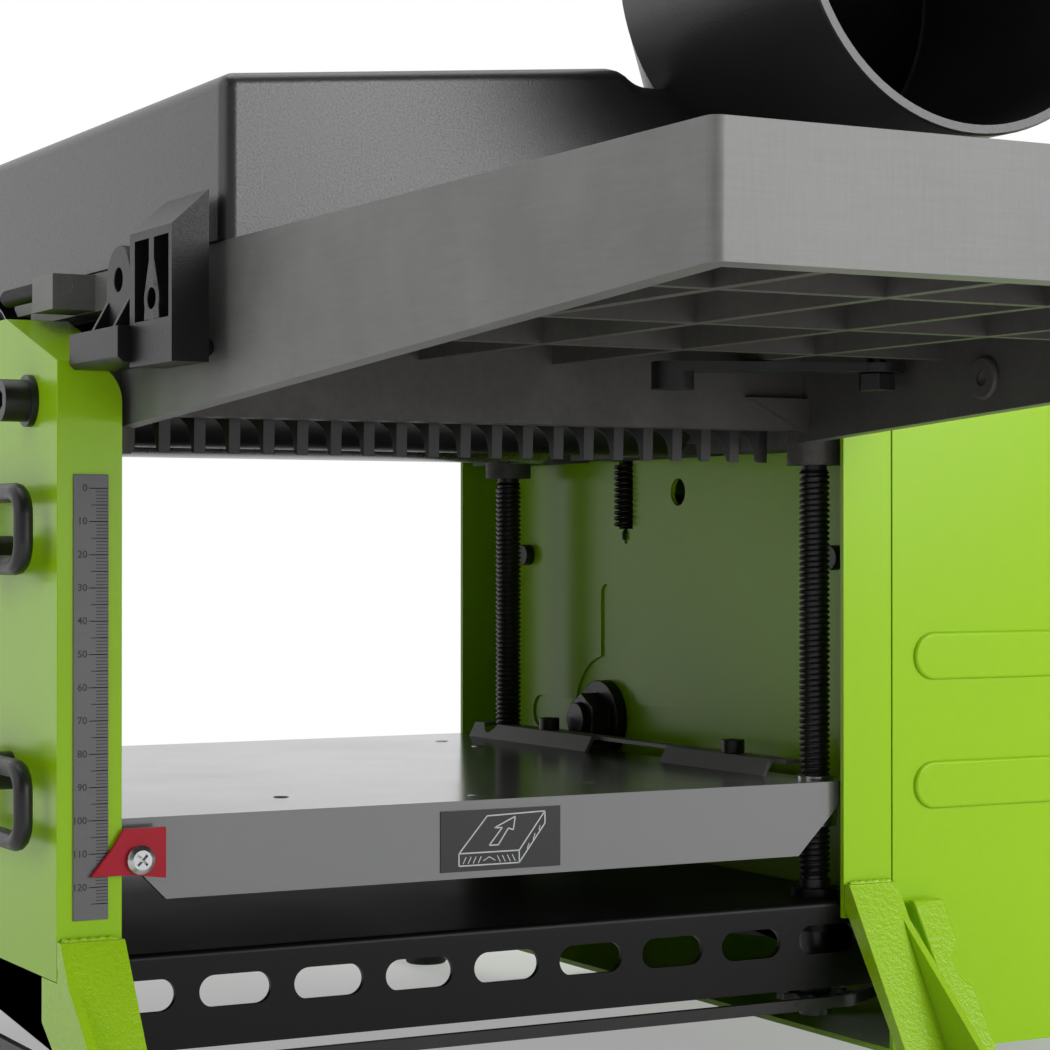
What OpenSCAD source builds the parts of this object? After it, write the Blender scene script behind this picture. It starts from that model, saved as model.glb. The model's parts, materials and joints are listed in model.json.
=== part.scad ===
// Combination planer thicknesser, bench model, set up for thicknessing with the chip hood on.
// Millimetres. X runs across the boards, +Y is the thicknessing feed, Z is up.
// The origin is on the bench, midway between the four foot holes.

/* [Planing tables] */
// Width of the planing tables beyond each end of the knives
table_side = 3; // [2:0.5:5]
// Reach of each planing table from its lip to its end
table_reach = 443; // [400:1:520]
// Height of the planing tables above the bench
table_top_z = 280; // [276:1:300]
// Thickness of the cast table plates
plate_t = 8; // [7:0.5:10]
// Depth of the tapered apron at the outer end
apron_end_h = 29; // [26:1:34]
// Depth of the tapered apron where it meets the head
apron_head_h = 49.5; // [46:0.5:52]
// Thickness of the cast aprons
apron_t = 6; // [4:0.5:9]
// Depth of the lattice ribs below the plate
rib_h = 17; // [10:1:20]
// Thickness of the lattice ribs
rib_t = 4; // [3:0.5:6]
// Ribs across each table
cross_ribs = 3; // [2:1:5]
// Ribs along each table
long_ribs = 4; // [2:1:6]
// Travel of the infeed table, the deepest planing cut
cut_travel = 3; // [2:0.5:3]

/* [Cutterblock] */
// Diameter that the knife edges sweep
cut_d = 50; // [48:1:54]
// Diameter of the steel block
block_d = 48; // [44:1:48]
// Length of the knives, the planing width
knife_l = 254; // [240:1:254]
// Knives in the block
knives = 2; // [2:1:3]
// Diameter of the bearing seats
journal_d = 17; // [15:1:20]
// Outer diameter of the cutterblock bearings
bearing_d = 35; // [32:1:38]
// Width of the bearings
bearing_w = 11; // [9:1:12]
// Gap from the knife circle to a table lip
lip_gap = 5; // [3:0.5:8]

/* [Side frames] */
// Gap from a planing table's side to the flange beside it
frame_side = 3; // [3:0.5:6]
// Width of a side frame across its channel
frame_w = 20.5; // [18:0.5:22]
// Length of a side frame along the feed
frame_l = 293; // [286:1:310]
// Height of the top of a side frame
frame_top_z = 266; // [262:1:267]
// Height of the bottom of a side frame
frame_bottom_z = 64; // [60:1:66]
// Thickness of the sheet
sheet_t = 2; // [1.5:0.5:3]
// Length of the sloped corner at the top
slope_l = 50; // [30:1:60]
// Fall of the sloped corner
slope_h = 16; // [10:1:24]
// Reach of a leg beyond the frame
leg_reach = 44; // [30:1:60]
// Length of the flat pad under a leg
pad_l = 34; // [28:1:40]
// Height of a rubber foot
foot_h = 12; // [8:1:16]
// Diameter of a rubber foot
foot_d = 19; // [16:0.5:20]
// Diameter of the bench bolt holes in the feet
foot_hole_d = 8.5; // [6:0.5:9]

/* [Thicknesser table] */
// Reach of the thicknesser table in between the flanges of each side frame
bed_side = 1; // [0:0.5:1]
// How much shorter the thicknesser table is than the side frames
bed_short = 17; // [13:1:23]
// Height of its surface with the table as photographed
bed_z = 111.5; // [108:0.5:116]
// Thickness of the pressed sheet
bed_t = 2.5; // [2:0.5:4]
// Depth of its front and rear aprons
bed_apron_h = 25.3; // [20:0.1:28]
// Size of the corner cut off each apron
bed_corner = 17; // [10:1:20]
// Highest rise above the photographed place
lift_up = 110; // [90:1:110]
// Lowest drop below the photographed place
lift_down = 3; // [0:1:3]

/* [Lift] */
// Diameter of the lift spindles
spindle_d = 11; // [10:0.5:12]
// Thread pitch of the lift spindles
pitch = 2; // [1.5:0.25:3]
// Depth of the thread
thread_h = 1; // [0.8:0.1:1.2]
// Distance of the spindles behind the edges of the flanges
spindle_out = 0.5; // [0:0.1:1]
// Distance of the front spindles behind the front of the frames
front_spindle_in = 18.5; // [17.5:0.5:19.5]
// Distance of the rear spindles before the back of the frames
rear_spindle_in = 44; // [40:0.5:50]
// Outer diameter of a threaded nut under the table
nut_d = 16; // [15:0.5:16.5]
// Height of a nut
nut_h = 14; // [10:1:16]
// Radial clearance of turning fits
run_gap = 0.06; // [0.02:0.01:0.1]
// Clearance between faces that pass each other
slip_gap = 0.3; // [0.3:0.05:0.5]
// Teeth on each lift sprocket
lift_teeth = 12; // [10:1:14]
// Chain pitch
chain_pitch = 6.35; // [6:0.01:6.6]
// Swing radius of the crank
crank_r = 75; // [60:1:75]
// Distance of the crank shaft outside the right frame
crank_out = 78.5; // [76:0.5:82]
// Place of the crank shaft along the feed
crank_y = -62; // [-66:1:-58]

/* [Feed] */
// Diameter of the feed rollers
roller_d = 30; // [26:1:30]
// Distance of each feed roller from the cutterblock
roller_y = 52; // [48:1:56]
// How far the rollers reach below the knife circle
roller_drop = 2; // [0:0.5:3]
// Diameter of the roller journals
roller_pin_d = 12; // [10:1:14]
// Number of kickback fingers
fingers = 21; // [12:1:21]
// Thickness of one finger
finger_t = 4; // [3:0.5:6]
// Distance of the finger rod behind the front of the frames
finger_in = 36.5; // [34.5:0.5:38.5]
// Height of the finger rod
finger_z = 243; // [242:1:245]
// Reach of a finger from its rod
finger_reach = 19; // [15:1:21]
// Diameter of the finger rod
finger_rod_d = 8; // [6:1:10]
// Module of the feed gears
gear_m = 1; // [0.9:0.05:1]
// Teeth on the small gears
small_teeth = 14; // [13:1:15]
// Teeth on the large gears
large_teeth = 70; // [66:1:70]
// Thickness of a gear
gear_w = 5; // [4:0.5:6]
// Teeth on the feed sprockets
feed_teeth = 14; // [12:1:15]

/* [Drive] */
// Width of the drive housing
housing_w = 140; // [136:1:160]
// Height of the housing's top
housing_top_z = 284; // [283:1:288]
// Height of the housing's floor
housing_bottom_z = 14; // [10:1:20]
// Thickness of the housing sheet
housing_t = 2; // [1.5:0.5:3]
// Rounding of the housing's top edges
housing_r = 24; // [14:1:28]
// Motor's place along the feed
motor_y = 50; // [46:1:52]
// Motor's height
motor_z = 122; // [116:1:124]
// Diameter of the motor can
motor_d = 110; // [90:1:114]
// Length of the motor can
motor_l = 92; // [70:1:94]
// Pitch radius of the cutterblock pulley
cutter_pulley_r = 20; // [16:1:22]
// Pitch radius of the motor pulley
motor_pulley_r = 32; // [26:1:36]
// Width of the drive belt
belt_w = 12; // [8:1:13]

/* [Hood] */
// Height of the hood's roof at its low left edge
hood_h = 47; // [40:0.1:50]
// Rise of the roof towards the outlet
hood_rise = 12.2; // [8:0.1:13]
// Front of the hood along the feed
hood_front_y = -222; // [-230:1:-210]
// Back of the hood along the feed
hood_back_y = 92; // [70:1:100]
// Wall of the hood
hood_t = 3; // [2.5:0.5:4]
// Radius of the dust outlet
port_r = 60; // [50:0.5:62]
// Distance of the outlet's middle inside the hood's right side
port_in = 70; // [65:1:75]
// Height of the outlet's middle
port_z = 371; // [365:1:376]
// Mouth of the outlet along the feed
port_mouth_y = -312; // [-340:1:-290]

/* [Scale] */
// Width of the scale plate
scale_w = 11; // [9:0.5:13]
// Height of the scale plate
scale_h = 134; // [130:1:140]
// Length of the graduation
scale_span = 125; // [100:5:125]

/* [Hidden] */
$fn = 48;
eps = 0.01;

// Planes of the head and frames
cutter_z = table_top_z - cut_d / 2;
table_w = knife_l + 2 * table_side;
frame_in_x = table_w / 2 + frame_side;
frame_out_x = frame_in_x + frame_w;
web_x = frame_out_x - sheet_t;
frame_y = frame_l / 2;
front_spindle_y = front_spindle_in - frame_y;
rear_spindle_y = frame_y - rear_spindle_in;
spindle_x = frame_in_x + spindle_out;
finger_y = finger_in - frame_y;
crank_x = frame_out_x + crank_out;
lip_y = cut_d / 2 + lip_gap;
table_end_y = lip_y + table_reach;
head_t = 6;
head_y = frame_y - 18.5;
head_top_z = table_top_z - plate_t - cut_travel - 1;
head_low_z = 235;
head_in_x = table_w / 2 - 0.5;
head_out_x = web_x - slip_gap;
skirt_y = head_y + slip_gap;
boss_r = 9.7;
boss_low_z = 223;
roller_z = cutter_z - cut_d / 2 - roller_drop + roller_d / 2;

// Planes of the thicknesser table and the tray
bed_y0 = -frame_y + 4.5;
bed_y1 = bed_y0 + frame_l - bed_short;
bed_x = frame_in_x + bed_side;
tray_top_z = 70;
tray_skirt_h = 30;
tray_y0 = -frame_y + sheet_t + slip_gap;
tray_y1 = frame_y - sheet_t - slip_gap;
tray_x = web_x - 1;
chain_z = 33;
chain_t = 4;
sprocket_t = 3;
lift_r = chain_pitch / 2 / sin(180 / lift_teeth);
feed_r = 8 / 2 / sin(180 / feed_teeth);
foot_y = frame_y + leg_reach + pad_l / 2 - 6;
foot_x = frame_in_x + frame_w / 2;

// Gear centres, as [y, z] pairs, one centre distance apart
gear_step = gear_m * (small_teeth + large_teeth) / 2;
turn_1 = 228;
turn_2 = 232;
turn_3 = 140;
cutter_at = [0, cutter_z];
gear_1_at = cutter_at + gear_step * [cos(turn_1), sin(turn_1)];
gear_2_at = gear_1_at + gear_step * [cos(turn_2), sin(turn_2)];
gear_3_at = gear_2_at + gear_step * [cos(turn_3), sin(turn_3)];
chain_x = frame_out_x + 3;
belt_x = chain_x + 8;
gear_x = belt_x + belt_w + 5;

// Where the lift chain runs: the four spindles and the crank shaft
chain_stops = [[-spindle_x, front_spindle_y, lift_r], [spindle_x, front_spindle_y, lift_r],
    [crank_x, crank_y, lift_r], [spindle_x, rear_spindle_y, lift_r], [-spindle_x, rear_spindle_y, lift_r]];

// Paint and finish colours
green = [0.55, 0.78, 0.05];
casting = [0.62, 0.62, 0.62];
steel = [0.72, 0.72, 0.74];
black = [0.09, 0.09, 0.10];
rubber = [0.13, 0.13, 0.13];
red = [0.72, 0.05, 0.10];

// Helpers
module rod_x(x0, x1, y, z, r, fn = 48) {
    translate([x0, y, z]) rotate([0, 90, 0]) cylinder(h = x1 - x0, r = r, $fn = fn);
}
module rod_y(x, y0, y1, z, r, fn = 48) {
    translate([x, y0, z]) rotate([-90, 0, 0]) cylinder(h = y1 - y0, r = r, $fn = fn);
}
module rod_z(x, y, z0, z1, r, fn = 48) {
    translate([x, y, z0]) cylinder(h = z1 - z0, r = r, $fn = fn);
}
module block(low, high) {
    translate(low) cube(high - low);
}
// Extrudes a [y, z] outline along X
module slab_x(x0, x1, points) {
    translate([x0, 0, 0]) rotate([90, 0, 90]) linear_extrude(x1 - x0) polygon(points);
}
// Extrudes an [x, z] outline along Y
module slab_y(y0, y1, points) {
    translate([0, y1, 0]) rotate([90, 0, 0]) linear_extrude(y1 - y0) polygon(points);
}
// A rounded rectangle between two corners
module rounded(low, high, r) {
    translate([low[0] + r, low[1]]) square([high[0] - low[0] - 2 * r, high[1] - low[1]]);
    translate([low[0], low[1] + r]) square([high[0] - low[0], high[1] - low[1] - 2 * r]);
    for (x = [low[0] + r, high[0] - r], y = [low[1] + r, high[1] - r])
        translate([x, y]) circle(r = r, $fn = 32);
}
module both_sides() {
    children();
    mirror([1, 0, 0]) children();
}
module slot_hole(length, width, depth) {
    linear_extrude(depth, center = true) union() {
        square([length - width, width], center = true);
        for (s = [-1, 1]) translate([s * (length - width) / 2, 0]) circle(d = width);
    }
}

// The outline of a band pulled tight round circles given as [u, v, radius]
function best(stops, n, k = 0, top = 0) =
    k >= len(stops) ? top
    : stops[k] * [n[0], n[1], 1] > stops[top] * [n[0], n[1], 1] ? best(stops, n, k + 1, k)
    : best(stops, n, k + 1, top);
function band(stops, out, steps = 96) = [for (i = [0 : steps - 1])
    let (a = 360 * i / steps, n = [cos(a), sin(a)], s = stops[best(stops, n)])
    [s[0], s[1]] + (s[2] + out) * n];
module band_ring(stops, inner, outer) {
    difference() {
        polygon(band(stops, outer));
        polygon(band(stops, inner));
    }
}

// Toothed outlines: root, flank, tip and flank of every tooth, first tooth centred on angle 0
function teeth(n, root_r, tip_r, root_half, tip_half) = [for (i = [0 : n - 1], c = [0 : 3])
    let (a = 360 * i / n + (c == 0 ? -root_half / root_r : c == 1 ? -tip_half / tip_r
        : c == 2 ? tip_half / tip_r : root_half / root_r) * 180 / PI, r = c == 0 || c == 3 ? root_r : tip_r)
    r * [cos(a), sin(a)]];
module gear(n) {
    r = gear_m * n / 2;
    polygon(teeth(n, r - 1.15 * gear_m, r + 0.85 * gear_m, 0.98 * gear_m, 0.36 * gear_m));
}
module sprocket(n, r) {
    polygon(teeth(n, r - 2.2, r + 1.2, 1.2, 0.5));
}
// Puts an outline of [y, z] on a face across X, turned so that its first tooth points at an angle
module across_x(x, at, turn, thick) {
    translate([x, at[0], at[1]]) rotate([90, 0, 90]) rotate(turn) linear_extrude(thick) children();
}

// A channel-shaped side frame: web outside, flanges turned in at front, back and top
frame_outline = [[-frame_y, frame_bottom_z], [frame_y, frame_bottom_z], [frame_y, frame_top_z - slope_h],
    [frame_y - slope_l, frame_top_z], [-frame_y + slope_l, frame_top_z], [-frame_y, frame_top_z - slope_h]];
frame_inner = [[-frame_y + sheet_t, frame_bottom_z - 1], [frame_y - sheet_t, frame_bottom_z - 1],
    [frame_y - sheet_t, frame_top_z - slope_h - sheet_t / 2],
    [frame_y - slope_l - sheet_t / 4, frame_top_z - sheet_t],
    [-frame_y + slope_l + sheet_t / 4, frame_top_z - sheet_t],
    [-frame_y + sheet_t, frame_top_z - slope_h - sheet_t / 2]];
flange_r = 12;
module frame_shell() {
    difference() {
        slab_x(frame_in_x, frame_out_x, frame_outline);
        slab_x(frame_in_x - 1, web_x, frame_inner);
        // Rounded free corners of the front and rear flanges
        for (s = [-1, 1]) translate([frame_in_x, s * frame_y, frame_top_z - slope_h])
            difference() {
                block([-1, -4, -flange_r], [flange_r, 4, slope_h + 1]);
                translate([flange_r, 0, -flange_r]) rotate([90, 0, 0])
                    cylinder(h = 10, r = flange_r, center = true);
            }
        side_bolt_holes();
        // Room for the bearing housing
        block([frame_in_x - 1, -housing_notch, cutter_z - 6], [web_x, housing_notch, frame_top_z + 1]);
    }
}
bolt_ys = [6.2 - head_y, rear_spindle_y - 14.5, head_y - 6.2];
bolt_z = 239;
hook_y = frame_y - 44.5;
hook_top_z = 191.6;
hook_low_z = 124.2;
module side_bolt_holes() {
    for (y = bolt_ys) rod_x(web_x - 1, frame_out_x + 1, y, bolt_z, 4.25);
}
module left_side_frame() {
    color(green) mirror([1, 0, 0]) difference() {
        frame_shell();
        for (z = [hook_low_z, hook_top_z]) rod_x(web_x - 1, frame_out_x + 1, -hook_y, z, 3.2);
        rod_x(web_x - 1, frame_out_x + 1, 0, cutter_z, bearing_d / 2 - 6);
    }
}

// Stamped recess and openings of the drive-side web
recess_r = 27;
recess_d = 1;
spring_y = 33.5;
spring_slot_low_z = 195;
spring_slot_top_z = 232;
spring_slot_w = 11;
web_hole_y = -7;
web_hole_z = 215.6;
web_hole_r = 5.5;
web_screw_ys = [29.5 - frame_y, frame_y - 30.5];
web_screw_z = 190;
web_screw_r = 2.5;
recess_arm = 56;
recess_arm_r = 8;
recess_spoke_r = 5;
module recess_shape(inset = 0) {
    arm_r = recess_arm_r - inset;
    spoke_r = recess_spoke_r - inset;
    translate([motor_y, motor_z]) {
        circle(r = recess_r - inset, $fn = 64);
        translate([-spoke_r, 0]) square([2 * spoke_r, 52]);
        translate([-recess_arm, -arm_r]) square([2 * recess_arm, 2 * arm_r]);
        for (s = [-1, 1]) translate([s * recess_arm, 0]) circle(r = arm_r, $fn = 32);
        translate([0, 52]) circle(r = spoke_r, $fn = 32);
    }
}
module right_side_frame() {
    color(green) difference() {
        union() {
            frame_shell();
            // The stamping stands out on the far side
            across_x(frame_out_x - eps, [0, 0], 0, recess_d) intersection() {
                recess_shape();
                translate([-frame_y + 3, frame_bottom_z]) square([frame_l - 6, 200]);
            }
        }
        across_x(web_x - 1, [0, 0], 0, recess_d + 1) recess_shape(sheet_t / 2);
        rod_x(web_x - 1, frame_out_x + 3, motor_y, motor_z, 10.2);
        rod_x(web_x - 1, frame_out_x + 1, 0, cutter_z, bearing_d / 2 - 6);
        for (s = [-1, 1])
            rod_x(web_x - 1, frame_out_x + 1, s * roller_y, roller_z, roller_pin_d / 2 + 3);
        rod_x(web_x - 1, frame_out_x + 1, web_hole_y, web_hole_z, web_hole_r);
        // Spring slot with a forked foot
        block([web_x - 1, spring_y - spring_slot_w / 2, spring_slot_low_z + 6],
            [frame_out_x + 1, spring_y + spring_slot_w / 2, spring_slot_top_z]);
        block([web_x - 1, spring_y - 1.2, spring_slot_low_z],
            [frame_out_x + 1, spring_y + 1.2, spring_slot_low_z + 7]);
        for (y = web_screw_ys) rod_x(web_x - 1, frame_out_x + 1, y, web_screw_z, web_screw_r + run_gap);
    }
}

// Slanted legs, one at each corner, each with a flat pad for a rubber foot
leg_top_z = 76;
leg_t = 3;
module leg() {
    difference() {
        union() {
            slab_x(frame_in_x, frame_out_x, [[-frame_y - slip_gap, leg_top_z],
                [-frame_y - slip_gap - leg_t, leg_top_z],
                [-foot_y + pad_l / 2 - leg_t, foot_h + leg_t], [-foot_y - pad_l / 2, foot_h + leg_t],
                [-foot_y - pad_l / 2, foot_h], [-foot_y + pad_l / 2, foot_h],
                [-frame_y - slip_gap, leg_top_z - 8]]);
            // Foot strip that ties the leg back under the frame
            slab_x(frame_out_x - leg_t, frame_out_x, [[-frame_y + 14, frame_bottom_z - slip_gap],
                [-frame_y + 14, frame_bottom_z - 14], [-foot_y + pad_l / 2 - leg_t, foot_h],
                [-foot_y - pad_l / 2 + 4, foot_h], [-frame_y - slip_gap - leg_t / 2, leg_top_z - 4],
                [-frame_y - slip_gap - eps, frame_bottom_z - slip_gap]]);
        }
        rod_z(foot_x, -foot_y, foot_h - 1, foot_h + leg_t + 30, foot_hole_d / 2);
    }
}
module legs() {
    color(green) both_sides() {
        leg();
        mirror([0, 1, 0]) leg();
    }
}
module rubber_feet() {
    color(rubber) both_sides() for (s = [-1, 1]) difference() {
        translate([foot_x, s * foot_y, 0]) rotate_extrude() polygon([[foot_hole_d / 2, 0],
            [foot_d / 2 - 1, 0], [foot_d / 2, 1], [foot_d / 2 - 0.8, foot_h], [foot_hole_d / 2, foot_h]]);
    }
}

// Pressed tray that ties the side frames and covers the lift chain
slot_pitch = 31.8;
slots = 9;
tray_slot_z = tray_top_z - 13;
tray_slot_l = 24;
tray_slot_h = 10;
module base_tray() {
    color(black) difference() {
        union() {
            block([-tray_x, tray_y0, tray_top_z - sheet_t], [tray_x, tray_y1, tray_top_z]);
            for (y = [tray_y0, tray_y1 - sheet_t])
                block([-tray_x, y, tray_top_z - tray_skirt_h], [tray_x, y + sheet_t, tray_top_z]);
            both_sides() for (y = [front_spindle_y, rear_spindle_y])
                rod_z(spindle_x, y, tray_top_z - 12, tray_top_z + 3, spindle_d / 2 + 3);
        }
        both_sides() for (y = [front_spindle_y, rear_spindle_y])
            rod_z(spindle_x, y, chain_z, tray_top_z + 5, spindle_d / 2 + run_gap);
        for (i = [0 : slots - 1], y = [tray_y0, tray_y1])
            translate([(i - (slots - 1) / 2) * slot_pitch + 0.5, y, tray_slot_z])
                rotate([90, 0, 0]) slot_hole(tray_slot_l, tray_slot_h, 6);
    }
}

// Height of the cheeks below the top flange of a side frame
housing_notch = bearing_d / 2 + 6;
function under_frame(y) = frame_top_z - 1.2 * sheet_t - slip_gap
    - max(0, abs(y) - (frame_y - slope_l)) * slope_h / slope_l;
// Head casting: cheeks in the side frames, front and rear walls, spindle bosses
module head_casting() {
    color(casting) difference() {
        union() {
            both_sides() {
                slab_x(head_in_x, head_out_x, [[-head_y, head_low_z - 6], [head_y, head_low_z - 6],
                    [head_y, under_frame(head_y)], [frame_y - slope_l, under_frame(0)],
                    [slope_l - frame_y, under_frame(0)], [-head_y, under_frame(head_y)]]);
                rod_x(head_in_x, head_out_x, 0, cutter_z, bearing_d / 2 + 5, 64);
                for (y = [front_spindle_y, rear_spindle_y])
                    rod_z(spindle_x, y, boss_low_z, under_frame(abs(y) + boss_r), boss_r);
            }
            for (y = [-head_y, head_y - head_t])
                block([-head_in_x - 1, y, head_low_z], [head_in_x + 1, y + head_t, head_top_z]);
        }
        both_sides() {
            for (y = [front_spindle_y, rear_spindle_y])
                rod_z(spindle_x, y, boss_low_z - 1, boss_low_z + 22, spindle_top_r + run_gap);
            rod_x(head_in_x - 1, head_in_x + 2, 0, cutter_z, bearing_d / 2 - 3);
            rod_x(head_in_x + 2, head_out_x + 1, 0, cutter_z, bearing_d / 2);
            // Pockets over the guard screws when the table is right up
            for (y = guard_screw_ys)
                rod_z(guard_screw_x, y, head_low_z - 7, bed_z + lift_up + guard_h + 6, 5.5);
            for (s = [-1, 1]) block([head_in_x - 1, s * roller_y - bush_w / 2, head_low_z - 7],
                [head_out_x + 1, s * roller_y + bush_w / 2, roller_z + bush_w / 2 + 1]);
            rod_x(head_in_x - 1, head_in_x + 10, finger_y, finger_z, finger_rod_d / 2);
            for (y = bolt_ys) rod_x(head_out_x - 12, head_out_x + 1, y, bolt_z, 4);
        }
        for (x = stud_xs) rod_y(x, head_y - head_t - 1, head_y + 1, stud_z, stud_r);
        for (x = [-100, 0, 100]) rod_z(x, -head_y + head_t / 2, head_top_z - 20, head_top_z + 1, 2);
    }
}
spindle_top_r = 4.5;
bush_w = 22;

// Cast table, drawn for the front; the head end seats on the head casting
rib_field = table_w - 2 * apron_t;
module table_body() {
    rounding = 3;
    difference() {
        // One solid of the outer form, hollowed from below
        intersection() {
            translate([0, 0, table_top_z - apron_head_h]) linear_extrude(apron_head_h)
                rounded([-table_w / 2, -table_end_y], [table_w / 2, -lip_y], rounding);
            slab_x(-table_w, table_w, [[-table_end_y - 1, table_top_z],
                [-table_end_y - 1, table_top_z - apron_end_h],
                [-skirt_y, table_top_z - apron_head_h],
                [-skirt_y, table_top_z - plate_t],
                [-lip_y - 6, table_top_z - plate_t],
                [-lip_y + eps, table_top_z - 3],
                [-lip_y + eps, table_top_z]]);
        }
        block([-rib_field / 2, -table_end_y + apron_t, table_top_z - apron_head_h - 1],
            [rib_field / 2, -skirt_y - apron_t, table_top_z - plate_t]);
        // The wall at the head stops higher than the side aprons
        block([-rib_field / 2, -skirt_y - apron_t - 1, table_top_z - apron_head_h - 1],
            [rib_field / 2, -skirt_y + 1, head_low_z]);
    }
    for (i = [1 : cross_ribs]) {
        y = -table_end_y + i * (table_reach - skirt_y + lip_y) / (cross_ribs + 1);
        block([-rib_field / 2 - eps, y - rib_t / 2, table_top_z - plate_t - rib_h],
            [rib_field / 2 + eps, y + rib_t / 2, table_top_z - plate_t + eps]);
    }
    for (i = [1 : long_ribs]) {
        x = -rib_field / 2 + i * rib_field / (long_ribs + 1);
        block([x - rib_t / 2, -table_end_y + apron_t - eps, table_top_z - plate_t - rib_h],
            [x + rib_t / 2, -skirt_y - apron_t + eps, table_top_z - plate_t + eps]);
    }
}
fence_hole_ys = [390, 430];
fence_hole_r = 3.3;
fence_hole_z = table_top_z - 16;
stud_ear_x = table_w / 2 + 14;
stud_ear_y0 = -114;
stud_ear_y1 = -94;
gusset_w = 24;
gusset_h = 12;
module outfeed_table() {
    color(casting) difference() {
        union() {
            table_body();
            // Seats on the cheeks and the front wall
            block([-table_w / 2, -head_y, head_top_z],
                [table_w / 2, -head_y + head_t, table_top_z - plate_t + eps]);
            both_sides() block([head_in_x - 12, -head_y, head_top_z],
                [table_w / 2, -lip_y - 20, table_top_z - plate_t + eps]);
            // Ear that carries the fence stud
            block([-stud_ear_x, stud_ear_y0, head_top_z + slip_gap],
                [-table_w / 2 + eps, stud_ear_y1, table_top_z - 0.5]);
            // Corner gusset between the right apron and the wall at the head
            slab_y(-skirt_y - apron_t - 3.7, -skirt_y - apron_t + eps,
                [[rib_field / 2 - gusset_w, head_low_z - 1 + gusset_h],
                [rib_field / 2 + 0.1, head_low_z - 1],
                [rib_field / 2 + 0.1, head_low_z - 1 + gusset_h]]);
        }
        both_sides() rod_z(spindle_x, front_spindle_y, boss_low_z - 1, head_top_z - 1, boss_r + slip_gap);
        rod_y(fence_stud_x, stud_ear_y0 - 1, stud_ear_y1 + 1, fence_stud_z, fence_seat_r + run_gap);
        rod_z(lever_x, lever_y, table_top_z - plate_t - rib_h - 1, table_top_z - plate_t - 2, lever_pin_r);
    }
}
fence_stud_x = -table_w / 2 - 10;
fence_stud_z = 276;
fence_stud_y = -56;
fence_stud_r = 2.94;
fence_seat_r = 2.44;

stud_xs = [-50, 50];
stud_z = 252;
stud_r = 4;
module infeed_table() {
    color(casting) mirror([0, 1, 0]) difference() {
        table_body();
        for (x = stud_xs) {
            for (z = [stud_z, stud_z + cut_travel])
                rod_y(x, -skirt_y - apron_t - 1, -skirt_y + 1, z, stud_r + run_gap);
            block([x - stud_r - run_gap, -skirt_y - apron_t - 1, stud_z],
                [x + stud_r + run_gap, -skirt_y + 1, stud_z + cut_travel]);
        }
        for (y = fence_hole_ys)
            rod_x(-table_w / 2 - 1, -table_w / 2 + apron_t + 1, -y, fence_hole_z, fence_hole_r);
        rod_y(0, -table_end_y - 1, -table_end_y + apron_t + 1, knob_z, knob_shaft_r + run_gap);
        rod_y(0, -skirt_y - apron_t - 1, -skirt_y + 1, knob_z, knob_shaft_r + run_gap);
        for (i = [1 : cross_ribs]) {
            y = -table_end_y + i * (table_reach - skirt_y + lip_y) / (cross_ribs + 1);
            rod_y(0, y - rib_t, y + rib_t, knob_z, knob_shaft_r + 1);
        }
    }
}
module guide_studs() {
    color(steel) for (x = stud_xs) {
        rod_y(x, head_y - head_t, skirt_y + apron_t + 9, stud_z, stud_r);
        rod_y(x, skirt_y + apron_t + slip_gap, skirt_y + apron_t + 2, stud_z, 9);
        rod_y(x, skirt_y + apron_t + 2 - eps, skirt_y + apron_t + 8, stud_z, 7.5, 6);
    }
}
knob_z = 258;
knob_shaft_r = 4;
knob_r = 17;
module depth_knob() {
    color(black) {
        rod_y(0, skirt_y + 0.5, table_end_y + 4, knob_z, knob_shaft_r);
        translate([0, table_end_y + 0.5, knob_z]) rotate([-90, 0, 0]) {
            linear_extrude(16)
                polygon([for (a = [0 : 5 : 355]) (knob_r + 1.2 * cos(a * 6)) * [cos(a), sin(a)]]);
            cylinder(h = 18, r = knob_r - 5);
        }
    }
}

// Bolts through the webs into the cheeks, with spacer collars
module side_bolts() {
    color(black) both_sides() for (y = bolt_ys) {
        rod_x(head_out_x - 11, frame_out_x + 3, y, bolt_z, 4 - run_gap);
        rod_x(frame_out_x, frame_out_x + 2, y, bolt_z, 8);
        difference() {
            rod_x(frame_out_x + 2 - eps, frame_out_x + 10, y, bolt_z, 6.5);
            rod_x(frame_out_x + 6, frame_out_x + 11, y, bolt_z, 3.4, 6);
        }
    }
}

// Cutterblock with its shaft; the drive end carries the pulley and the first gear
module cutterblock() {
    color(steel) difference() {
        union() {
            rod_x(-knife_l / 2 - 1, knife_l / 2 + 1, 0, cutter_z, block_d / 2, 96);
            rod_x(-head_out_x + 1, head_out_x - 1, 0, cutter_z, journal_d / 2);
            rod_x(head_out_x - 2, gear_x + gear_w + 1, 0, cutter_z, shaft_r);
        }
        for (i = [0 : knives - 1]) translate([0, 0, cutter_z]) rotate([360 * i / knives, 0, 0])
            block([-knife_l / 2 - 2, -4, block_d / 2 - 13], [knife_l / 2 + 2, 6, block_d / 2 + 1]);
    }
}
shaft_r = 4.2;
module cutter_knives() {
    color(steel) for (i = [0 : knives - 1]) translate([0, 0, cutter_z]) rotate([360 * i / knives, 0, 0]) {
        slab_x(-knife_l / 2, knife_l / 2, [[3, block_d / 2 - 12], [5.9, block_d / 2 - 12],
            [5.9, cut_d / 2 - 3], [3.4, sqrt(cut_d * cut_d / 4 - 16)], [3, block_d / 2 - 1]]);
        difference() {
            slab_x(-knife_l / 2, knife_l / 2, [[-3.9, block_d / 2 - 12.9], [2.9, block_d / 2 - 12.9],
                [2.9, block_d / 2 - 2], [-3.9, block_d / 2 - 1]]);
            for (x = wedge_xs) rod_z(x, -0.5, block_d / 2 - 14, block_d / 2, 3);
        }
    }
}
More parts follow.
